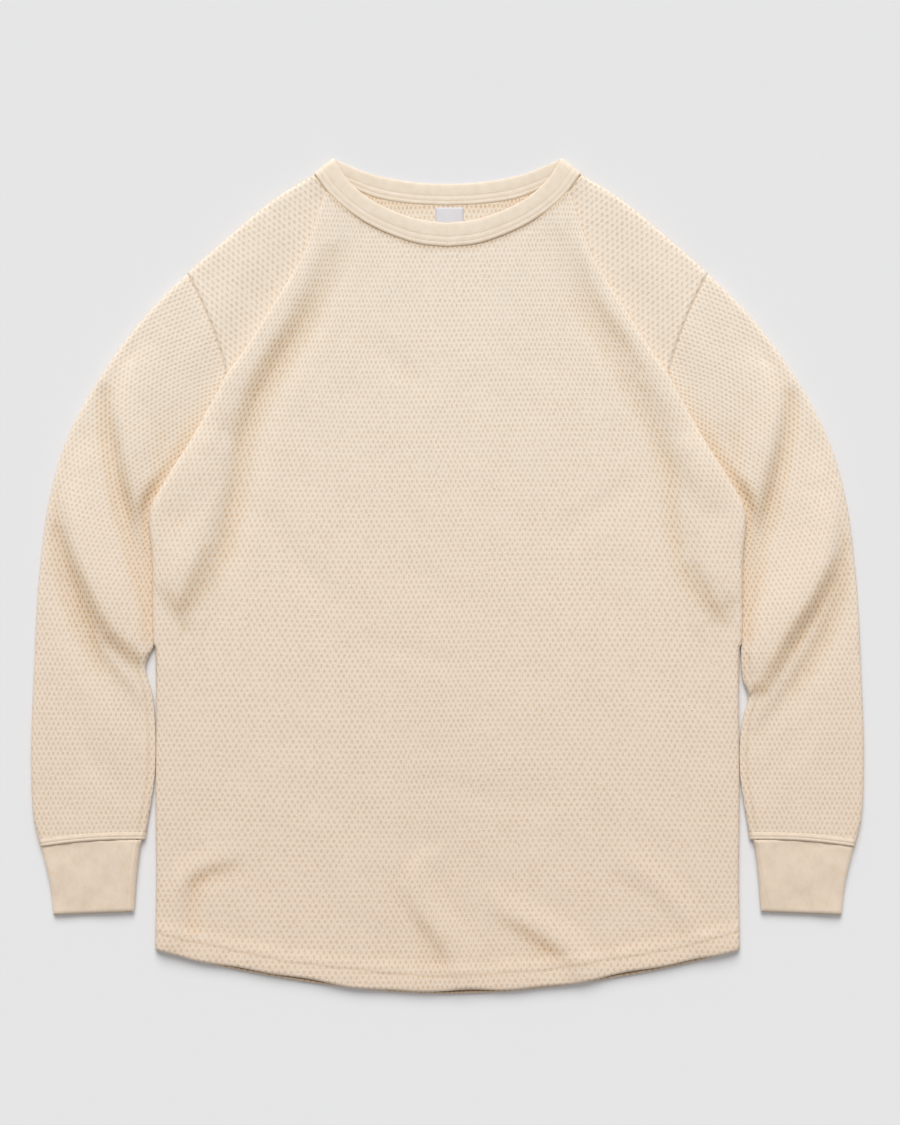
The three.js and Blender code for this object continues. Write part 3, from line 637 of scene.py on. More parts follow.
def rows_inside(loop):
    """Points on rows that follow an outline just inside it."""
    tangent = unit(np.roll(loop, -1, axis=0) - np.roll(loop, 1, axis=0))
    normal = np.column_stack([-tangent[:, 1], tangent[:, 0]])
    kept = []
    for depth in ROW_DEPTHS:
        row = loop + normal * depth
        fits = away_from(loop, *row.T) > depth * 0.93
        kept.append(row[fits & inside(loop, *row.T)])
    return np.vstack(kept)


def knit_lattice(loop, plan, fabric, margin=4.4):
    """Points in each pit and on each ridge of the knit well inside an outline, their places in the
    fabric, and the triangles between them, numbered after the outline's own points."""
    low, high = (f(np.column_stack(fabric(*loop.T)), axis=0) for f in (np.min, np.max))
    half = np.array([WALE, COURSE]) / 2
    first, last = np.floor(low / half).astype(int) - 1, np.ceil(high / half).astype(int) + 1
    i, j = np.meshgrid(*(np.arange(a, b + 1) for a, b in zip(first, last)), indexing="ij")
    x, y = plan(i * half[0], j * half[1])
    good = inside(loop, x, y)
    good[good] = away_from(loop, x[good], y[good]) > margin
    cell = good[:-1, :-1] & good[1:, :-1] & good[:-1, 1:] & good[1:, 1:]
    used = np.zeros_like(good)
    for a in (0, 1):
        for b in (0, 1):
            used[a : used.shape[0] - 1 + a, b : used.shape[1] - 1 + b] |= cell
    number = np.full(good.shape, -1)
    number[used] = np.arange(used.sum()) + len(loop)
    a, b, c, d = number[:-1, :-1], number[1:, :-1], number[1:, 1:], number[:-1, 1:]
    pit_first = ((i + j)[:-1, :-1] % 2) == 0
    cells = []
    for choose, pairs in ((pit_first, ((a, b, d), (b, c, d))), (~pit_first, ((a, b, c), (a, c, d)))):
        for triple in pairs:
            cells.append(np.column_stack([t[cell & choose] for t in triple]))
    lattice = np.column_stack([x[used], y[used]])
    places = np.column_stack([(i * half[0])[used], (j * half[1])[used]])
    return lattice, places, np.vstack(cells)


def rim_of(triangles):
    """The edges that only one triangle has."""
    edges = np.vstack([triangles[:, [0, 1]], triangles[:, [1, 2]], triangles[:, [2, 0]]])
    _, where, uses = np.unique(np.sort(edges, axis=1), axis=0, return_index=True, return_counts=True)
    return edges[where[uses == 1]]


def fill_between(loop, lattice, rows, rim):
    """Triangles between an outline and the rim of the knitted part inside it, through the rows."""
    rim_points = np.unique(rim)
    extra = len(loop) + len(lattice)
    ids = np.concatenate([np.arange(len(loop)), rim_points, extra + np.arange(len(rows))])
    places = np.vstack([loop, lattice[rim_points - len(loop)], rows])
    local = {int(v): n for n, v in enumerate(ids)}
    count = len(loop)
    wanted = [(n, (n + 1) % count) for n in range(count)]
    wanted += [(local[int(p)], local[int(q)]) for p, q in rim]
    made = delaunay_2d_cdt([Vector(p) for p in places], wanted, [], 0, 1e-5)
    spots = np.array([tuple(v) for v in made[0]])
    source = np.array([ids[o[0]] if o else -1 for o in made[3]])
    fill = np.array([f for f in made[2] if len(f) == 3])
    corner = spots[fill]
    middle = corner.mean(axis=1)
    keep = inside(loop, *middle.T)
    on_rim = np.flatnonzero(np.isin(source[fill], rim_points).all(axis=1))
    whole = np.vstack([loop, lattice])
    keep[on_rim] &= ~enclosed(whole[rim[:, 0]], whole[rim[:, 1]], *middle[on_rim].T)
    size = np.cross(corner[:, 1] - corner[:, 0], corner[:, 2] - corner[:, 0])
    keep &= np.abs(size) > 1e-4
    fill = source[fill[keep]]
    return fill[(fill >= 0).all(axis=1)]


def knit_plan(loop, plan, fabric):
    """Points and triangles that fill an outline, anticlockwise. Inside it they follow the knit, and
    the outline's own points come first."""
    lattice, lattice_places, triangles = knit_lattice(loop, plan, fabric)
    rim = rim_of(triangles)
    rows = rows_inside(loop)
    near = np.full(len(rows), np.inf)
    for point in lattice[np.unique(rim) - len(loop)]:
        near = np.minimum(near, np.hypot(*(rows - point).T))
    rows = rows[near > ROW_GAP]
    points = np.vstack([loop, lattice, rows])
    triangles = np.vstack([triangles, fill_between(loop, lattice, rows, rim)])
    p, q, r = (points[triangles[:, k]] for k in range(3))
    turned = np.cross(q - p, r - p) < 0
    triangles[turned] = triangles[turned][:, ::-1]
    places = np.column_stack(fabric(*points.T))
    places[len(loop) : len(loop) + len(lattice)] = lattice_places
    return points, places, triangles


def pit(places):
    """1 at the bottom of a pit and 0 on the ridges round it."""
    u, v = places[:, 0] / WALE, places[:, 1] / COURSE
    return ((1 + np.cos(2 * np.pi * u) * np.cos(2 * np.pi * v)) / 2) ** 1.4


def make_mesh(name, points, faces, places, seams=None, painted_shade=None):
    """An object from points in millimetres, with each point's place in the fabric as its UV."""
    mesh = bpy.data.meshes.new(name)
    mesh.from_pydata((points * MM).tolist(), [], [list(map(int, f)) for f in faces])
    uv = mesh.uv_layers.new(name="fabric")
    corner = np.empty(len(mesh.loops), dtype=np.int32)
    mesh.loops.foreach_get("vertex_index", corner)
    uv.data.foreach_set("uv", places[corner].astype(np.float32).ravel())
    # each point's distance from a seam, and its share of painted shade
    for title, values, plain in (("seam", seams, FAR_FROM_SEAM), ("painted_shade", painted_shade, 0.0)):
        layer = mesh.attributes.new(title, "FLOAT", "POINT")
        values = np.full(len(points), plain) if values is None else values
        layer.data.foreach_set("value", values.astype(np.float32))
    mesh.shade_smooth()
    mesh.update()
    piece = bpy.data.objects.new(name, mesh)
    bpy.context.collection.objects.link(piece)
    return piece


def thicken(piece, wall):
    solid = piece.modifiers.new("wall", "SOLIDIFY")
    solid.thickness = wall * MM
    solid.offset = -1
    solid.use_even_offset = False


def finish(piece, material, slot, *nodes):
    """Gives a piece its material and its body, and hides the nodes that it stands for; slot is not used.
    """
    piece.data.materials.append(material)
    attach(piece, "root")
    if nodes:
        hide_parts(*nodes)
    return piece


def knit_sheet(name, loop, maps, height, wall, up=True, seams=None):
    """One layer of knit over an outline, its outer side up or down."""
    points, places, triangles = knit_plan(loop, *maps)
    sunk = PIT_DEPTH * pit(places) * smooth(0.5, 6, away_from(loop, *points.T))
    z = height(*points.T) - (sunk if up else -sunk)
    faces = triangles if up else triangles[:, ::-1]
    marks = seams(*points.T) if seams else None
    rim = smooth(2, 10, away_from(loop, *points.T))
    if up:
        # painted shade under the neckband's lip
        shade_under_band = 0.8 * (1 - smooth(0, 3.5, nearest(SEAM_FRONT_WHOLE, *points.T)[0]))
        painted_shade = np.maximum(painted_shade_of(height, *points.T) * rim, shade_under_band)
    else:
        # painted shade along the rim of a sheet whose outer side faces down, where it shows under the
        # front
        painted_shade = 0.9 * (1 - rim)
    piece = make_mesh(name, np.column_stack([points, z]), faces, places, marks, painted_shade)
    thicken(piece, wall)
    return piece


def signed_area(loop):
    """Area inside an outline, above zero where it runs anticlockwise."""
    x, y = loop.T
    return np.sum(x * np.roll(y, -1) - y * np.roll(x, -1)) / 2


def closed_loop(*lines):
    """Lines end to end, without repeated points, anticlockwise."""
    points = np.vstack(lines)
    apart = np.hypot(*(points - np.roll(points, 1, axis=0)).T) > 0.2
    points = points[apart]
    return points if signed_area(points) > 0 else points[::-1]


def front_panel(material):
    neck = SEAM_FRONT[SEAM_FRONT[:, 0] <= FOLD[0][0]] + (0, NECK_TUCK)
    edge = EDGE_LINE.copy()
    edge[0] += (0, NECK_TUCK)
    loop = closed_loop(both_sides(neck), edge, FRONT_HEM[::-1], mirrored(edge, RIGHT)[::-1])
    piece = knit_sheet(
        "front_panel_knit", loop, (body_plan, body_fabric), front_height, KNIT,
        seams=from_hem_stitches,
    )
    return finish(piece, material, "knit", "front_panel")


def shoulder(material, side):
    seam = part_of(ARMHOLE_LINE, 0, CROSSING_SHARE + 0.05)
    along = unit(np.gradient(FOLD_LINE, axis=0))
    tucked = FOLD_LINE + np.column_stack([along[:, 1], -along[:, 0]]) * TUCK
    tucked = tucked[(tucked[:, 1] > seam[-1, 1]) & (tucked[:, 1] < 352)]
    neck = SEAM_FRONT[(SEAM_FRONT[:, 0] > tucked[0, 0]) & (SEAM_FRONT[:, 0] < 121)] + (0, NECK_TUCK)
    outline = (neck, SHOULDER_LINE, seam, tucked[::-1])
    loop = closed_loop(*(mirrored(line, side) for line in outline))

    def height(x, y):
        beside_armhole = from_armhole(x, y)
        welt = 0.7 * np.exp(-(((beside_armhole - 3.2) / 1.8) ** 2))
        top = np.maximum(shoulder_height(x, y), SEAM_HEIGHT + SEAM_GAP)
        near_neck = 1 - smooth(0, 11, nearest(SEAM_FRONT, np.abs(x), y)[0])
        rise = (NECK_HEIGHT - top) * near_neck * roll_over(nearest(SHOULDER_LINE, np.abs(x), y)[0], 6)
        return top + np.maximum(rise, 0) - seam_dip(beside_armhole) + welt

    piece = knit_sheet(
        named("front_shoulder", side), loop, shoulder_maps(side), height, KNIT, seams=from_armhole,
    )
    return finish(piece, material, "knit", "front_panel")


def back_panel(material):
    edge = np.vstack([SHOULDER_LINE, ARMHOLE_LINE, SIDE_LINE])
    neck = both_sides(SEAM_BACK[SEAM_BACK[:, 0] < 121]) + (0, NECK_TUCK)
    loop = closed_loop(neck, edge, both_sides(HEM_LINE)[::-1], mirrored(edge, RIGHT)[::-1])
    piece = knit_sheet(
        "back_panel_knit", loop, (body_plan, body_fabric), back_height, KNIT, up=False,
        seams=from_hem_stitches,
    )
    return finish(piece, material, "knit", "back_panel")


def sleeve(material, side):
    """A flattened tube: two layers with one outline, joined along its outer and underarm edges."""
    tuck = 0.5 + 0.7 * smooth(130, 70, ARMHOLE_LINE[:, 1])
    hole = (ARMHOLE_LINE - np.outer(tuck, (1, 0)))[1:-1]
    inner = INNER_LINES[side]
    cuff_line = respaced(np.vstack([OUTER_LINE[-1], inner[-1]]), 2.0)
    cuff_line = (cuff_line + np.outer(cuff_bow(np.linspace(0, 1, len(cuff_line))), (0, 1)))[1:-1]
    rings = [OUTER_LINE, cuff_line, inner[::-1], hole[::-1]]
    open_end = np.concatenate([
        np.full(len(line), flag) for line, flag in zip(rings, (False, True, False, True))
    ])
    loop = np.vstack(rings)
    if side == RIGHT:
        loop, open_end = mirrored(loop, RIGHT)[::-1], open_end[::-1]
    loop, open_end = loop[::-1], open_end[::-1]
    points, places, triangles = knit_plan(loop, *sleeve_maps(side))
    x, y = points.T
    near_rim = away_from(loop, x, y)
    sunk = PIT_DEPTH * pit(places) * smooth(0.5, 6, near_rim)
    beside_armhole = from_armhole(x, y)
    top = shoulder_height(x, y) - sunk - seam_dip(beside_armhole)
    under = sleeve_under(x, y) + sunk
    count = len(points)
    second = np.arange(count) + count
    shared = np.flatnonzero(~open_end)
    second[shared] = shared
    faces = np.vstack([triangles, second[triangles][:, ::-1]])
    both = np.vstack([np.column_stack([points, top]), np.column_stack([points, under])])
    used, faces = np.unique(faces, return_inverse=True)
    faces = faces.reshape(-1, 3)
    underarm = np.where(y > -72, FAR_FROM_SEAM, from_inner_edge(x, y) - UNDERARM_SEAM)
    marks = np.where(beside_armhole < np.abs(underarm), beside_armhole, underarm)
    marks = np.concatenate([marks, np.full(count, FAR_FROM_SEAM)])
    beside, walked, _ = nearest(EDGE_COARSE, np.abs(x), y)
    # painted shade on the sleeve where the front's edge stands over it
    shaded = 0.75 * (1 - smooth(0, 20, beside)) * smooth(190, 280, walked) * smooth(-70, -40, y)
    painted_shade = np.maximum(painted_shade_of(shoulder_height, x, y) * smooth(2, 10, near_rim), shaded)
    painted_shade = np.concatenate([painted_shade, np.zeros(count)])
    places = np.vstack([places, places])
    name = named("sleeve", side)
    piece = make_mesh(f"{name}_knit", both[used], faces, places[used], marks[used], painted_shade[used])
    thicken(piece, KNIT)
    return finish(piece, material, "knit", name)


# Rib pieces


def grid_faces(rows, columns, close_rows=False, close_columns=False):
    r = np.arange(rows if close_rows else rows - 1)
    c = np.arange(columns if close_columns else columns - 1)
    r, c = (v.ravel() for v in np.meshgrid(r, c, indexing="ij"))
    r2, c2 = (r + 1) % rows, (c + 1) % columns
    return np.column_stack([r * columns + c, r2 * columns + c, r2 * columns + c2, r * columns + c2])


def band_rows():
    """Rows across the neckband, all the way round: seam point, edge point, and top or bottom."""
    corner, tip = NECK_SEAM_FRONT[-1][0], NECK_EDGE_FRONT[-1][0]
    close = np.array([0, 0.15, 0.5, 1.1, 2.0, 3.2, 5])
    even = np.linspace(-corner + 7, corner - 7, 150)
    across = np.concatenate([-corner + close, even, corner - close[::-1]])
    rows = []
    for seam, edge, front in ((SEAM_FRONT, BAND_EDGE_FRONT, True), (SEAM_BACK, BAND_EDGE_BACK, False)):
        places = across if front else across[::-1][1:-1]
        for x in places:
            inner = np.array([x * tip / corner, height_on(edge, x * tip / corner)])
            rows.append((np.array([x, height_on(seam, x)]), inner, front))
    return rows


def neckband(material):
    """The doubled ring. Gives the middle, normals and half thickness of its wall."""
    width = BAND_PROFILE[-1][0]
    shares = np.array([d for d, _ in BAND_PROFILE]) / width
    turn = np.array([NECK_SEAM_FRONT[-1], NECK_EDGE_FRONT[-1]], dtype=float)
    rows = band_rows()
    middle = []
    for seam, edge, front in rows:
        place = edge + (seam - edge) * shares[:, None] * 0.985
        rolled = roll_over(nearest(turn, np.abs(place[:, 0]), place[:, 1])[0])
        centre = (BAND_FRONT + BAND_BACK) / 2
        z = mix(centre, BAND_FRONT if front else BAND_BACK, rolled)
        middle.append(np.column_stack([place, z]))
    middle = np.array(middle)
    along = np.roll(middle, -1, axis=0) - np.roll(middle, 1, axis=0)
    normal = unit(np.cross(np.gradient(middle, axis=1), along))
    half = (BAND_WALL + np.array([t for _, t in BAND_PROFILE])) / 2
    outer = middle + normal * half[:, None]
    inner = (middle - normal * half[:, None])[:, ::-1]
    points = np.concatenate([outer, inner], axis=1)
    count, columns = points.shape[:2]
    walked = np.cumsum(np.linalg.norm(middle[:, -1] - np.roll(middle[:, -1], 1, axis=0), axis=1))
    depth = np.concatenate([shares, shares[::-1]]) * width
    places = np.dstack(np.broadcast_arrays(walked[:, None], depth[None, :])).reshape(-1, 2)
    from_stitch = np.min([np.abs(depth - d) for d in BAND_STITCHES], axis=0)
    # painted shade along the two rows of stitches and under the band's outer lip
    shaded = np.maximum(0.4 * (1 - smooth(0, 0.9, from_stitch)), smooth(20.2, 21.8, depth))
    faces = grid_faces(count, columns, True, True)
    painted_shade = np.tile(shaded, count)
    piece = make_mesh("neckband_rib", points.reshape(-1, 3), faces, places, painted_shade=painted_shade)
    finish(piece, material, "rib", "neckband")
    return middle, normal, half


def flat_ring(side, inner, outer, top_at, shorten=0.0, bow=0.0):
    """Points round a flattened tube, over the top from its inner to its outer edge and back, and
    how far round each lies."""
    inner, outer = np.array(inner, dtype=float), np.array(outer, dtype=float)
    width = np.linalg.norm(outer - inner)
    near = np.array(RING_EDGE)
    even = np.linspace(near[-1], width - near[-1], RING_COLUMNS)[1:-1]
    away = np.concatenate([near, even, width - near[::-1]])
    x, y = (mix(a, b, away / width) for a, b in zip(inner, outer))
    rolled = roll_over(np.minimum(away, width - away))
    top = mix(SEAM_HEIGHT, top_at(away, x, y), rolled)
    y = y + bow * cuff_bow(away / width)
    under = SEAM_HEIGHT * (1 - rolled) + 0.02
    upper = np.column_stack([side * x, y + shorten * rolled, top])
    lower = np.column_stack([side * x, y, under])[::-1][1:-1]
    return np.vstack([upper, lower]), np.concatenate([away, 2 * width - away[::-1][1:-1]])


def tube(name, rings, down, side):
    """A tube through rings that stand the given distances down the sleeve."""
    points = np.vstack([ring for ring, _ in rings])
    columns = len(rings[0][0])
    places = np.vstack([
        np.column_stack([away, np.full(columns, distance)])
        for (_, away), distance in zip(rings, down)
    ])
    faces = grid_faces(len(rings), columns, close_columns=True)
    return make_mesh(name, points, faces if side == LEFT else faces[:, ::-1], places)


def cuff_top(side, down):
    """The cuff's upper surface at a share of its depth, from the distance to its inner edge."""

    def top_at(away, x, y):
        gathered = 0.3 * np.sin(away / 2.9 + np.sin(away / 17)) * (1 - smooth(0, 0.22, down))
        soft = 0.5 * np.sin(away / 14 + 5 * down + side) * np.sin(4.4 * down + 0.6)
        soft += 0.22 * np.sin(away / 6.1 - 9 * down) * smooth(0.1, 0.5, down)
        seam = 0.5 * np.exp(-(((away - CUFF_SEAM + 1.5) / 1.1) ** 2))
        seam -= 0.8 * np.exp(-(((away - CUFF_SEAM) / 0.6) ** 2))
        ends = 1 - 0.1 * (1 - smooth(0, 0.05, down)) - 0.2 * smooth(0.965, 1, down)
        plain = mix(CUFF_HEIGHT, CUFF_MOUTH, smooth(0.3, 1, down))
        return (plain + gathered + soft + seam) * ends

    return top_at


def cuff(material, side, strip):
    """A tube that is open at the hand and a little gathered where the sleeve joins it."""
    table = np.array(CUFF_RINGS)
    at = np.linspace(0, len(table) - 1, CUFF_ROWS)
    rings = []
    for row in range(CUFF_ROWS):
        down = row / (CUFF_ROWS - 1)
        ox, oy, ix, iy = (np.interp(at[row], range(len(table)), column) for column in table.T)
        rings.append(flat_ring(
            side, (ix, iy - CUFF_GAP), (ox, oy - CUFF_GAP), cuff_top(side, down),
            shorten=0.9 * down**6, bow=1 - smooth(0, 0.6, down),
        ))
    name = named("cuff", side)
    piece = tube(f"{name}_rib", rings, np.linspace(0, CUFF_DEPTH, CUFF_ROWS), side)
    thicken(piece, RIB)
    return finish(piece, material, "rib", name)


def strip_top(side, height):
    """The strip's surface, at a height over the sleeve that it is sewn to."""

    def top_at(away, x, y):
        sleeve_top = shoulder_height(side * x, np.maximum(y, STRIP_LOWEST))
        return sleeve_top + height + 0.12 * np.sin(away / 1.35)

    return top_at


def cuff_strip(material, side):
    """The turned-in seam allowance, stitched down in two rows above the cuff."""
    (above, inner), (above_outer, outer) = (
        np.array(rows[-2:], dtype=float) for rows in (SLEEVE_INNER[side], SLEEVE_OUTER)
    )
    up_inner, up_outer = above - inner, above_outer - outer
    up_inner, up_outer = up_inner / up_inner[1], up_outer / up_outer[1]
    rings = []
    for distance, height in STRIP_PROFILE:
        spread = np.array([1, 0]) * (0.25 + 0.25 * height)
        rings.append(flat_ring(
            side, inner + up_inner * distance - spread, outer + up_outer * distance + spread,
            strip_top(side, height), bow=1.0,
        ))
    down = [-distance for distance, _ in STRIP_PROFILE]
    return finish(tube(f"{named('cuff', side)}_strip", rings, down, -side), material, "rib")


# Materials


def linear(colour):
    values = np.array(colour) / 255
    return (*np.where(values <= 0.04045, values / 12.92, ((values + 0.055) / 1.055) ** 2.4), 1.0)


def shade(colour, share):
    return linear(tuple(c * share for c in colour))


class Nodes:
    """Short names for building a material's node tree."""

    def __init__(self, name):
        self.material = bpy.data.materials.new(name)
        self.material.use_nodes = True
        self.tree = self.material.node_tree
        self.shader = self.tree.nodes["Principled BSDF"]

    def link(self, value, socket):
        if isinstance(value, (int, float, tuple)):
            socket.default_value = value
        else:
            self.tree.links.new(value, socket)

    def math(self, kind, *values):
        node = self.tree.nodes.new("ShaderNodeMath")
        node.operation = kind
        for value, socket in zip(values, node.inputs):
            self.link(value, socket)
        return node.outputs[0]

    def noise(self, place, scale, detail=2.0):
        node = self.tree.nodes.new("ShaderNodeTexNoise")
        self.link(place, node.inputs["Vector"])
        node.inputs["Scale"].default_value = scale
        node.inputs["Detail"].default_value = detail
        return node.outputs["Fac"]

    def ramp(self, value, low, high, start=0.0, end=1.0):
        node = self.tree.nodes.new("ShaderNodeMapRange")
        node.interpolation_type = "SMOOTHSTEP"
        for number, v in enumerate((value, low, high, start, end)):
            self.link(v, node.inputs[number])
        return node.outputs[0]

    def blend(self, share, first, second, kind="MIX"):
        node = self.tree.nodes.new("ShaderNodeMix")
        node.data_type = "RGBA"
        node.blend_type = kind
        self.link(share, node.inputs["Factor"])
        self.link(first, node.inputs["A"])
        self.link(second, node.inputs["B"])
        return node.outputs["Result"]

    def multiply(self, first, second):
        return self.blend(1.0, first, second, "MULTIPLY")

    def attribute(self, title):
        """A value that each point of the mesh carries."""
        node = self.tree.nodes.new("ShaderNodeAttribute")
        node.attribute_name = title
        return node.outputs["Fac"]

    def drift(self, place, scale, detail, amount):
        """Noise about zero."""
        about_zero = self.math("SUBTRACT", self.noise(place, scale, detail), 0.5)
        return self.math("MULTIPLY", about_zero, amount)

    def fabric(self):
        """The place in the fabric, and its two parts."""
        node = self.tree.nodes.new("ShaderNodeUVMap")
        node.uv_map = "fabric"
        split = self.tree.nodes.new("ShaderNodeSeparateXYZ")
        self.tree.links.new(node.outputs[0], split.inputs[0])
        return node.outputs[0], split.outputs[0], split.outputs[1]

    def low_shade(self):
        """Painted shade that deepens down the garment, as the light falls off."""
        place = self.tree.nodes.new("ShaderNodeTexCoord").outputs["Object"]
        split = self.tree.nodes.new("ShaderNodeSeparateXYZ")
        self.link(place, split.inputs[0])
        share = self.ramp(split.outputs[1], *LOW_SHADE_SPAN)
        return self.blend(share, UNTINTED, (*(c**2.2 for c in LOW_SHADE), 1.0))

    def bump(self, height, distance, strength=1.0):
        node = self.tree.nodes.new("ShaderNodeBump")
        node.inputs["Distance"].default_value = distance
        node.inputs["Strength"].default_value = strength
        self.link(height, node.inputs["Height"])
        self.link(node.outputs[0], self.shader.inputs["Normal"])


def cloth_shader(nodes, colour, roughness, sheen):
    nodes.link(colour, nodes.shader.inputs["Base Color"])
    nodes.shader.inputs["Roughness"].default_value = roughness
    nodes.shader.inputs["Sheen Weight"].default_value = sheen
    nodes.shader.inputs["Sheen Roughness"].default_value = 0.6
    nodes.shader.inputs["Specular IOR Level"].default_value = 0.25
    return nodes.material


def knit_material():
    """Cream waffle knit: pits painted darker and warmer as shade, yarn along the ridges, soft fibre,
    stitched lines.
    """
    n = Nodes("waffle_knit")
    place, a, b = n.fabric()
    u = n.math("MULTIPLY", n.math("ADD", a, n.drift(place, 0.35, 2.0, 1.6)), 2 * np.pi / WALE)
    v = n.math("MULTIPLY", n.math("ADD", b, n.drift(place, 0.29, 1.0, 2.2)), 2 * np.pi / COURSE)
    lattice = n.math("MULTIPLY", n.math("COSINE", u), n.math("COSINE", v))
    fibre = n.noise(place, 2.6, 3.0)
    rough_pit = n.math("ADD", lattice, n.math("MULTIPLY", n.math("SUBTRACT", fibre, 0.5), 1.4))
    rough_pit = n.math("ADD", rough_pit, n.drift(place, 0.24, 2.0, 1.3))
    in_pit = n.ramp(rough_pit, -0.15, 1.15)
    groove = n.ramp(n.math("ABSOLUTE", n.attribute("seam")), 0.0, 2.4, 1.0, 0.0)
    patches = n.ramp(n.noise(place, 0.045, 3.0), 0.3, 0.7)
    ridge = n.blend(patches, linear(RIDGE), shade(RIDGE, 0.985))
    fleck = n.ramp(n.noise(place, 0.85, 2.0), 0.32, 0.68)
    ridge = n.blend(n.math("MULTIPLY", fleck, 0.85), ridge, shade(RIDGE, 0.96))
    # painted shade: the pits darken more, and the colour turns warmer, in troughs and on slopes turned
    # from the light
    shade_share = n.attribute("painted_shade")
    plain_strength = n.ramp(n.noise(place, 0.03), 0.3, 0.7, 0.4, 0.54)
    strength = n.math("ADD", n.math("MULTIPLY", shade_share, 0.42), plain_strength)
    dark = n.math("ADD", n.math("MULTIPLY", in_pit, strength), n.math("MULTIPLY", groove, 0.2))
    colour = n.blend(n.math("MINIMUM", dark, 1.0), ridge, linear(PIT_SHADE))
    shade_tint = n.blend(shade_share, UNTINTED, (*PAINTED_SHADE_TINT, 1.0))
    colour = n.multiply(n.multiply(colour, shade_tint), n.low_shade())
    relief = n.math("SUBTRACT", n.math("MULTIPLY", fibre, 0.35), n.math("MULTIPLY", in_pit, 0.5))
    relief = n.math("SUBTRACT", relief, n.math("MULTIPLY", groove, 0.22))
    n.bump(relief, 0.0007)
    return cloth_shader(n, colour, 0.92, 0.15)


def rib_material(name, tone):
    """Fine rib: narrow wales across the band or down the cuff, with a heathered yarn."""
    n = Nodes(name)
    place, a, b = n.fabric()
    strayed = n.math("ADD", a, n.drift(place, 0.5, 2.0, 0.7))
    wale = n.math("SINE", n.math("MULTIPLY", strayed, 2 * np.pi / RIB_WALE))
    fibre = n.noise(place, 1.9, 4.0)
    patches = n.noise(place, 0.12, 3.0)
    heather = n.math("ADD", n.math("MULTIPLY", wale, 0.16), n.ramp(fibre, 0.2, 0.8, 0.0, 0.5))
    heather = n.math("ADD", heather, n.ramp(patches, 0.3, 0.75, 0.0, 0.35))
    light, dark = (linear(np.multiply(yarn, tone)) for yarn in (RIB_LIGHT, RIB_DARK))
    colour = n.multiply(n.blend(n.ramp(heather, 0.0, 1.2), light, dark), n.low_shade())
    # painted shade: warmer and darker along the stitches and under the lip
    colour = n.multiply(colour, n.blend(n.attribute("painted_shade"), UNTINTED, (*PAINTED_SHADE_TINT, 1.0)))
    relief = n.math("ADD", n.math("MULTIPLY", wale, 0.5), fibre)
    n.bump(relief, 0.00025)
    return cloth_shader(n, colour, 0.88, 0.2)


def plain_cloth(name, light, scale, depth):
    """Finely woven or twisted yarn, for the label and the thread."""
    n = Nodes(name)
    place, a, b = n.fabric()
    weave = n.math("MULTIPLY", *(n.math("SINE", n.math("MULTIPLY", part, scale)) for part in (a, b)))
    fibre = n.noise(place, 2.0, 3.0)
    colour = n.blend(n.ramp(fibre, 0.3, 0.8, 0.0, 0.5), linear(light), shade(light, 0.93))
    n.bump(n.math("ADD", weave, fibre), depth)
    return cloth_shader(n, colour, 0.75, 0.1)


# Label, stitches


def neck_label(material):
    """A small woven label, a little bowed, its lower end under the front band."""
    low, high = (np.array(v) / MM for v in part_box("neck_label"))
    columns, rows = 15, 21
    x = np.linspace(low[0], high[0], columns)
    y = np.linspace(high[1], low[1], rows)
    gx, gy = np.meshgrid(x, y)
    share = (gx - low[0]) / (high[0] - low[0])
    z = LABEL_HEIGHT + 0.5 * np.sin(np.pi * share) * smooth(0, 10, high[1] - gy) + 0.1 * np.sin(gy / 3)
    points = np.dstack([gx, gy, z]).reshape(-1, 3)
    piece = make_mesh("neck_label_woven", points, grid_faces(rows, columns), points[:, :2])
    thicken(piece, LABEL_WALL)
    return finish(piece, material, "label", "neck_label")


def stitch_row(name, places, normals, material, pitch=3.0, length=2.2, radius=0.28):
    """Short rounded stitches along a line of points, each lying along it."""
    along = np.concatenate([[0], np.cumsum(np.linalg.norm(np.diff(places, axis=0), axis=1))])
    at = np.arange(pitch / 2, along[-1] - pitch / 2, pitch)
    middle, normal = sampled(places, along, at), sampled(normals, along, at)
    before, after = (sampled(places, along, at + half) for half in (-length / 2, length / 2))
    direction = unit(after - before)
    sideways = np.cross(normal, direction)
    angle = np.arange(STITCH_SIDES) / STITCH_SIDES * 2 * np.pi
    points, faces = [], []
    block = grid_faces(len(STITCH_RINGS), STITCH_SIDES, close_columns=True)
    for n in range(len(at)):
        base = len(points) * len(STITCH_RINGS) * STITCH_SIDES
        shape = [
            middle[n] + direction[n] * s * length
            + (sideways[n] * np.cos(t) * w + normal[n] * (np.sin(t) * w + lift)) * radius
            for s, w, lift in STITCH_RINGS for t in angle
        ]
        points.append(np.array(shape))
        faces.extend((block + base).tolist())
        faces.append([base + k for k in range(STITCH_SIDES)])
        last = base + (len(STITCH_RINGS) - 1) * STITCH_SIDES
        faces.append([last + k for k in reversed(range(STITCH_SIDES))])
    points = np.vstack(points)
    piece = make_mesh(name, points, faces, points[:, :2])
    return finish(piece, material, "rib")


def neckband_stitches(material, middle, normal, half):
    depths = [depth for depth, _ in BAND_PROFILE]
    for number, depth in enumerate(BAND_STITCHES):
        at = depths.index(depth)
        places = middle[:, at] + normal[:, at] * (half[at] + 0.05)
        stitch_row(f"neckband_stitches_{number + 1}", places, normal[:, at], material)


def hem_stitches(material):
    x = np.linspace(-HEM_STITCH_REACH, HEM_STITCH_REACH, 400)
    y = height_on(HEM_LINE, x) + HEM_STITCH + hem_wander(x)
    for name, height, up in (("front", front_height(x, y) - 0.1, 1), ("back", back_height(x, y), -1)):
        places = np.column_stack([x, y, height])
        normals = np.tile((0, 0, up), (len(places), 1))
        stitch_row(f"{name}_hem_stitches", places, normals, material, pitch=4.2, length=2.9, radius=0.24)


# Camera, floor and light


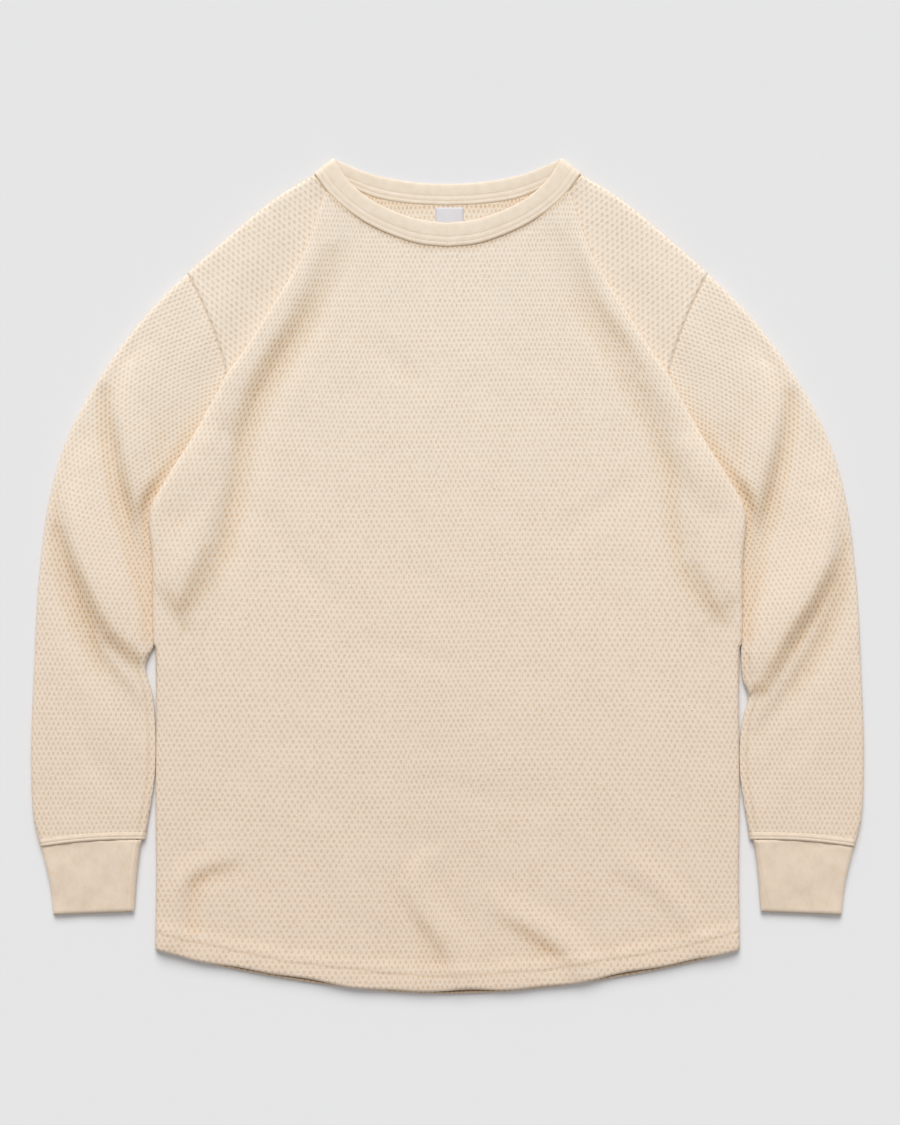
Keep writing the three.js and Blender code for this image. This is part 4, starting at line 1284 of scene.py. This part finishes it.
def camera():
    data = bpy.data.cameras.new("camera")
    data.sensor_fit = "VERTICAL"
    data.sensor_height = SENSOR
    data.lens = LENS
    eye = bpy.data.objects.new("camera", data)
    distance = FRAME_HEIGHT * LENS / SENSOR
    eye.location = Vector((*FRAME_MIDDLE, distance + CLOTH_HEIGHT)) * MM
    bpy.context.collection.objects.link(eye)
    bpy.context.scene.camera = eye


def pale_floor():
    bpy.ops.mesh.primitive_plane_add(size=FLOOR_SIZE, location=(0, 0, -FLOOR_DROP))
    floor = bpy.context.object
    floor.name = "floor"
    n = Nodes("floor_paint")
    grain = n.noise(n.tree.nodes.new("ShaderNodeTexCoord").outputs["Object"], 60.0, 2.0)
    colour = n.blend(grain, linear(FLOOR), shade(FLOOR, 0.995))
    n.link(colour, n.shader.inputs["Base Color"])
    n.shader.inputs["Roughness"].default_value = 0.9
    n.shader.inputs["Specular IOR Level"].default_value = 0.1
    floor.data.materials.append(n.material)


def soft_light():
    sun = bpy.data.lights.new("key", "SUN")
    sun.energy = SUN_STRENGTH
    sun.angle = SUN_WIDTH
    lamp = bpy.data.objects.new("key", sun)
    lamp.rotation_euler = Vector(SUN_TOWARDS).to_track_quat("-Z", "Y").to_euler()
    bpy.context.collection.objects.link(lamp)
    world = bpy.data.worlds.new("studio")
    world.use_nodes = True
    sky = world.node_tree.nodes["Background"]
    sky.inputs["Color"].default_value = (1, 1, 1, 1)
    sky.inputs["Strength"].default_value = SKY_STRENGTH
    bpy.context.scene.world = world
    bpy.context.scene.view_settings.view_transform = "Standard"


camera()
pale_floor()
soft_light()
knit = knit_material()
band_rib = rib_material("neckband_rib", (1, 1, 1))
cuff_rib = rib_material("cuff_rib", (0.995, 1.0, 1.005))
label_cloth = plain_cloth("woven_label", LABEL_WHITE, 9.0, 0.0001)
thread = plain_cloth("thread", THREAD, 12.0, 0.0001)

front_panel(knit)
for side in (RIGHT, LEFT):
    shoulder(knit, side)
back_panel(knit)
for side in (RIGHT, LEFT):
    sleeve(knit, side)
for side in (RIGHT, LEFT):
    cuff(cuff_rib, side, cuff_strip(cuff_rib, side))
band_wall = neckband(band_rib)
neck_label(label_cloth)
neckband_stitches(thread, *band_wall)
hem_stitches(thread)
